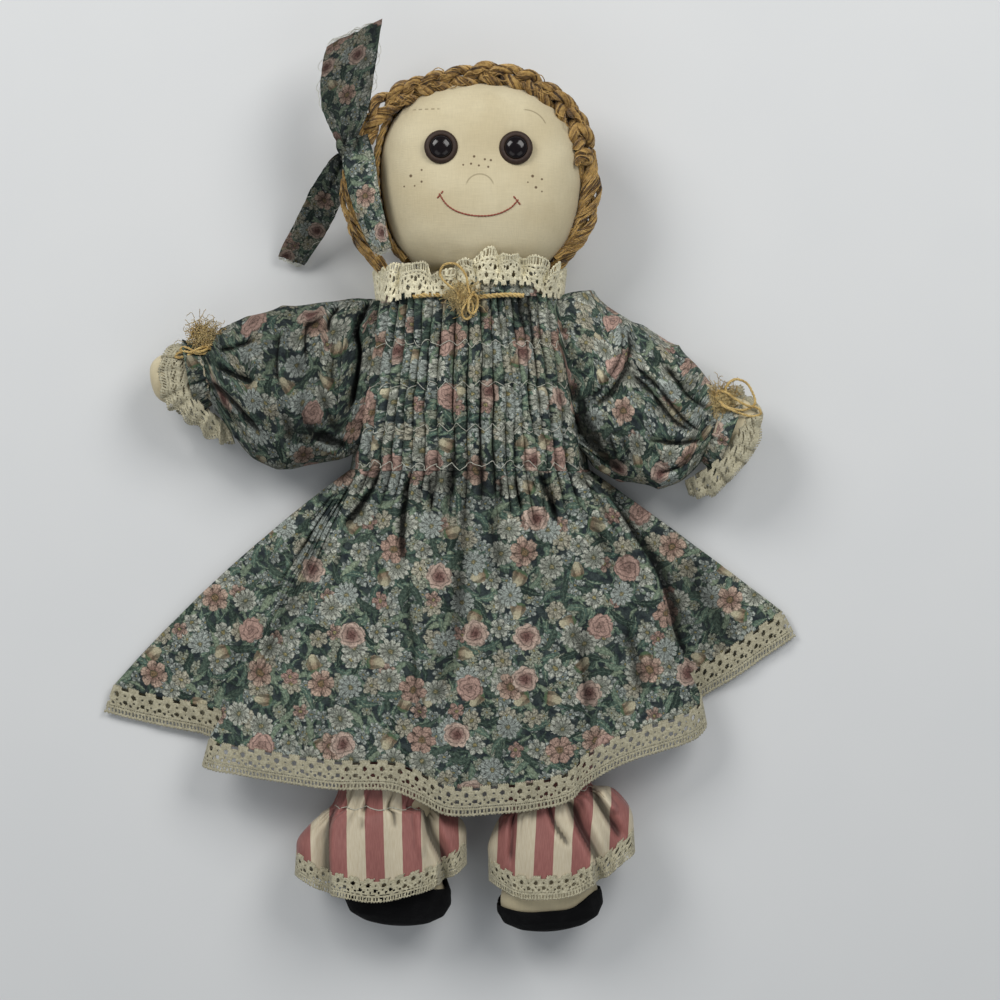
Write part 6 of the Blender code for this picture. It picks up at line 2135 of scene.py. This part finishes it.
def bloomer_point(side, v, turn):
    """A point of a bloomer leg: v counts the rows of its table and turn goes once round."""
    v, turn = np.broadcast_arrays(np.asarray(v, float), np.asarray(turn, float))
    table = np.array([(*a, *b, c, d) for a, b, c, d in BLOOMER_ROWS[side]])
    row = through(table, v.ravel()).reshape(v.shape + (6,))
    left, right, half, lift = row[..., 0:2], row[..., 2:4], row[..., 4], row[..., 5]
    angle = turn * TAU
    cosine, sine = np.cos(angle), np.sin(angle)
    across, upward = rounded(cosine, 0.85), rounded(sine, 0.85)
    point = np.empty(v.shape + (3,))
    point[..., :2] = (left + right) / 2 + (right - left) / 2 * across[..., None]
    seed = 3 if side == "right" else 29
    gather = np.abs(waver(turn * 58, v * 0.5, seed)) * 3.4 * np.exp(-(((v - 4.3) / 1.3) ** 2))
    flute = np.sin(turn * TAU * 7 + 1.6 * np.sin(turn * TAU * 2 + seed)) * 1.2 * ease(v, 4.6, 8)
    out = flute - gather + 0.6 * waver(cosine * 3, sine * 3 + v * 0.5, seed + 2)
    point[..., 2] = lift + (half + out * 0.9) * upward
    point[..., 0] += out * 0.8 * cosine
    point[..., 1] += 0.5 * flute * ease(v, 6, 8) - 12.4 * (1 - np.abs(across) ** 2.2) * ease(v, 4.4, 8.6)
    drawn = drawn_folds(point, BLOOMER_FOLDS[side])
    point[..., 2] += drawn * ease(sine, 0.0, 0.5)
    point[..., 2] = np.maximum(point[..., 2], 0.9)
    return point


def make_bloomer(side):
    turn = np.linspace(0, 1, 260, endpoint=False)[None, :]
    v = np.linspace(0, 8, 130)[:, None]
    points = bloomer_point(side, v, turn)
    middle_x = {"right": -38.0, "left": 31.5}[side]
    loop = np.concatenate([points, points[:, :1]], axis=1)
    lean = (loop[..., 1] + 130) * (0.03 if side == "right" else -0.05)
    flat = np.stack([loop[..., 0] - middle_x + lean, loop[..., 1]], axis=2)
    # Painted shade in the hollows of the leg's upper side, with painted light on its crests.
    shade = np.clip(hollows(points, 3, 4, True) * 1.2 + hollows(points, 7, 9, True) * 0.5, -1, 1)
    shade = np.where(points[..., 2] > 19, shade, 0.0)
    leg = grid_piece(
        f"bloomers_{side}", points, STRIPES, flat, round_=True, middle=(middle_x, -130, 17), wall=0.5,
        shade=shade,
    )
    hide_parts(f"bloomers_leg_{side}")
    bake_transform(leg)
    elastic = 4.15
    turn = np.linspace(0.02, 0.48, 300)
    swing = zigzag(turn * TAU * 13) * 0.13
    points = bloomer_point(side, elastic + swing + 0.04 * waver(turn * 18, 0, 5), turn)
    points[:, 2] += 0.5
    under = bloomer_point(side, np.full(200, elastic), np.linspace(0.5, 1.0, 200))
    lines = [evenly(points[::3], 300), under]
    thread = make_yarn(f"leg_elastic_stitches_{side}", lines, PALE_THREAD, 2, 0.13, 0.10, 900, sides=4)
    settle(thread, "pale_thread", f"leg_{side}", f"leg_elastic_{side}")

    turn = np.linspace(0, 1, 520)[None, :]
    t = np.linspace(0, 1, 30)[:, None]
    edge = bloomer_point(side, 7.72 + 0 * turn, turn)
    inner = bloomer_point(side, 7.0 + 0 * turn, turn)
    down = edge - inner
    down[..., 0] *= 0.5
    down[..., 2] *= 0.4
    down /= np.linalg.norm(down, axis=2, keepdims=True)
    points = edge + down * (9.4 * t)[..., None]
    ruffle = waver(turn * 21, t * 0.8, 67) * t
    points[..., 2] += 0.6 * np.sign(edge[..., 2] - 17) + 1.5 * ruffle
    points[..., 0] += 0.7 * ruffle * (1 - np.abs(np.sin(turn * TAU)))
    points[..., 2] = np.maximum(points[..., 2], 0.8)
    lace = make_lace(f"bloomers_lace_band_{side}", points, repeat=6.1, height=9.4, wall=0.5)
    settle(lace, "cotton_lace", f"leg_{side}", f"bloomers_lace_{side}")


# ---------------------------------------------------------------- the whole doll
make_camera()
make_lamps()
make_floor()
make_torso()
make_bodice()
make_shirring()
make_skirt()
make_skirt_back()
make_collar()
make_drawstring()
make_tabs()
make_arms()
for doll_side in ("right", "left"):
    make_sleeve(doll_side)
make_legs()
make_head()
make_plait()
make_locks()
make_back_hair()
make_ribbon()

bpy.context.scene.view_settings.view_transform = "Standard"
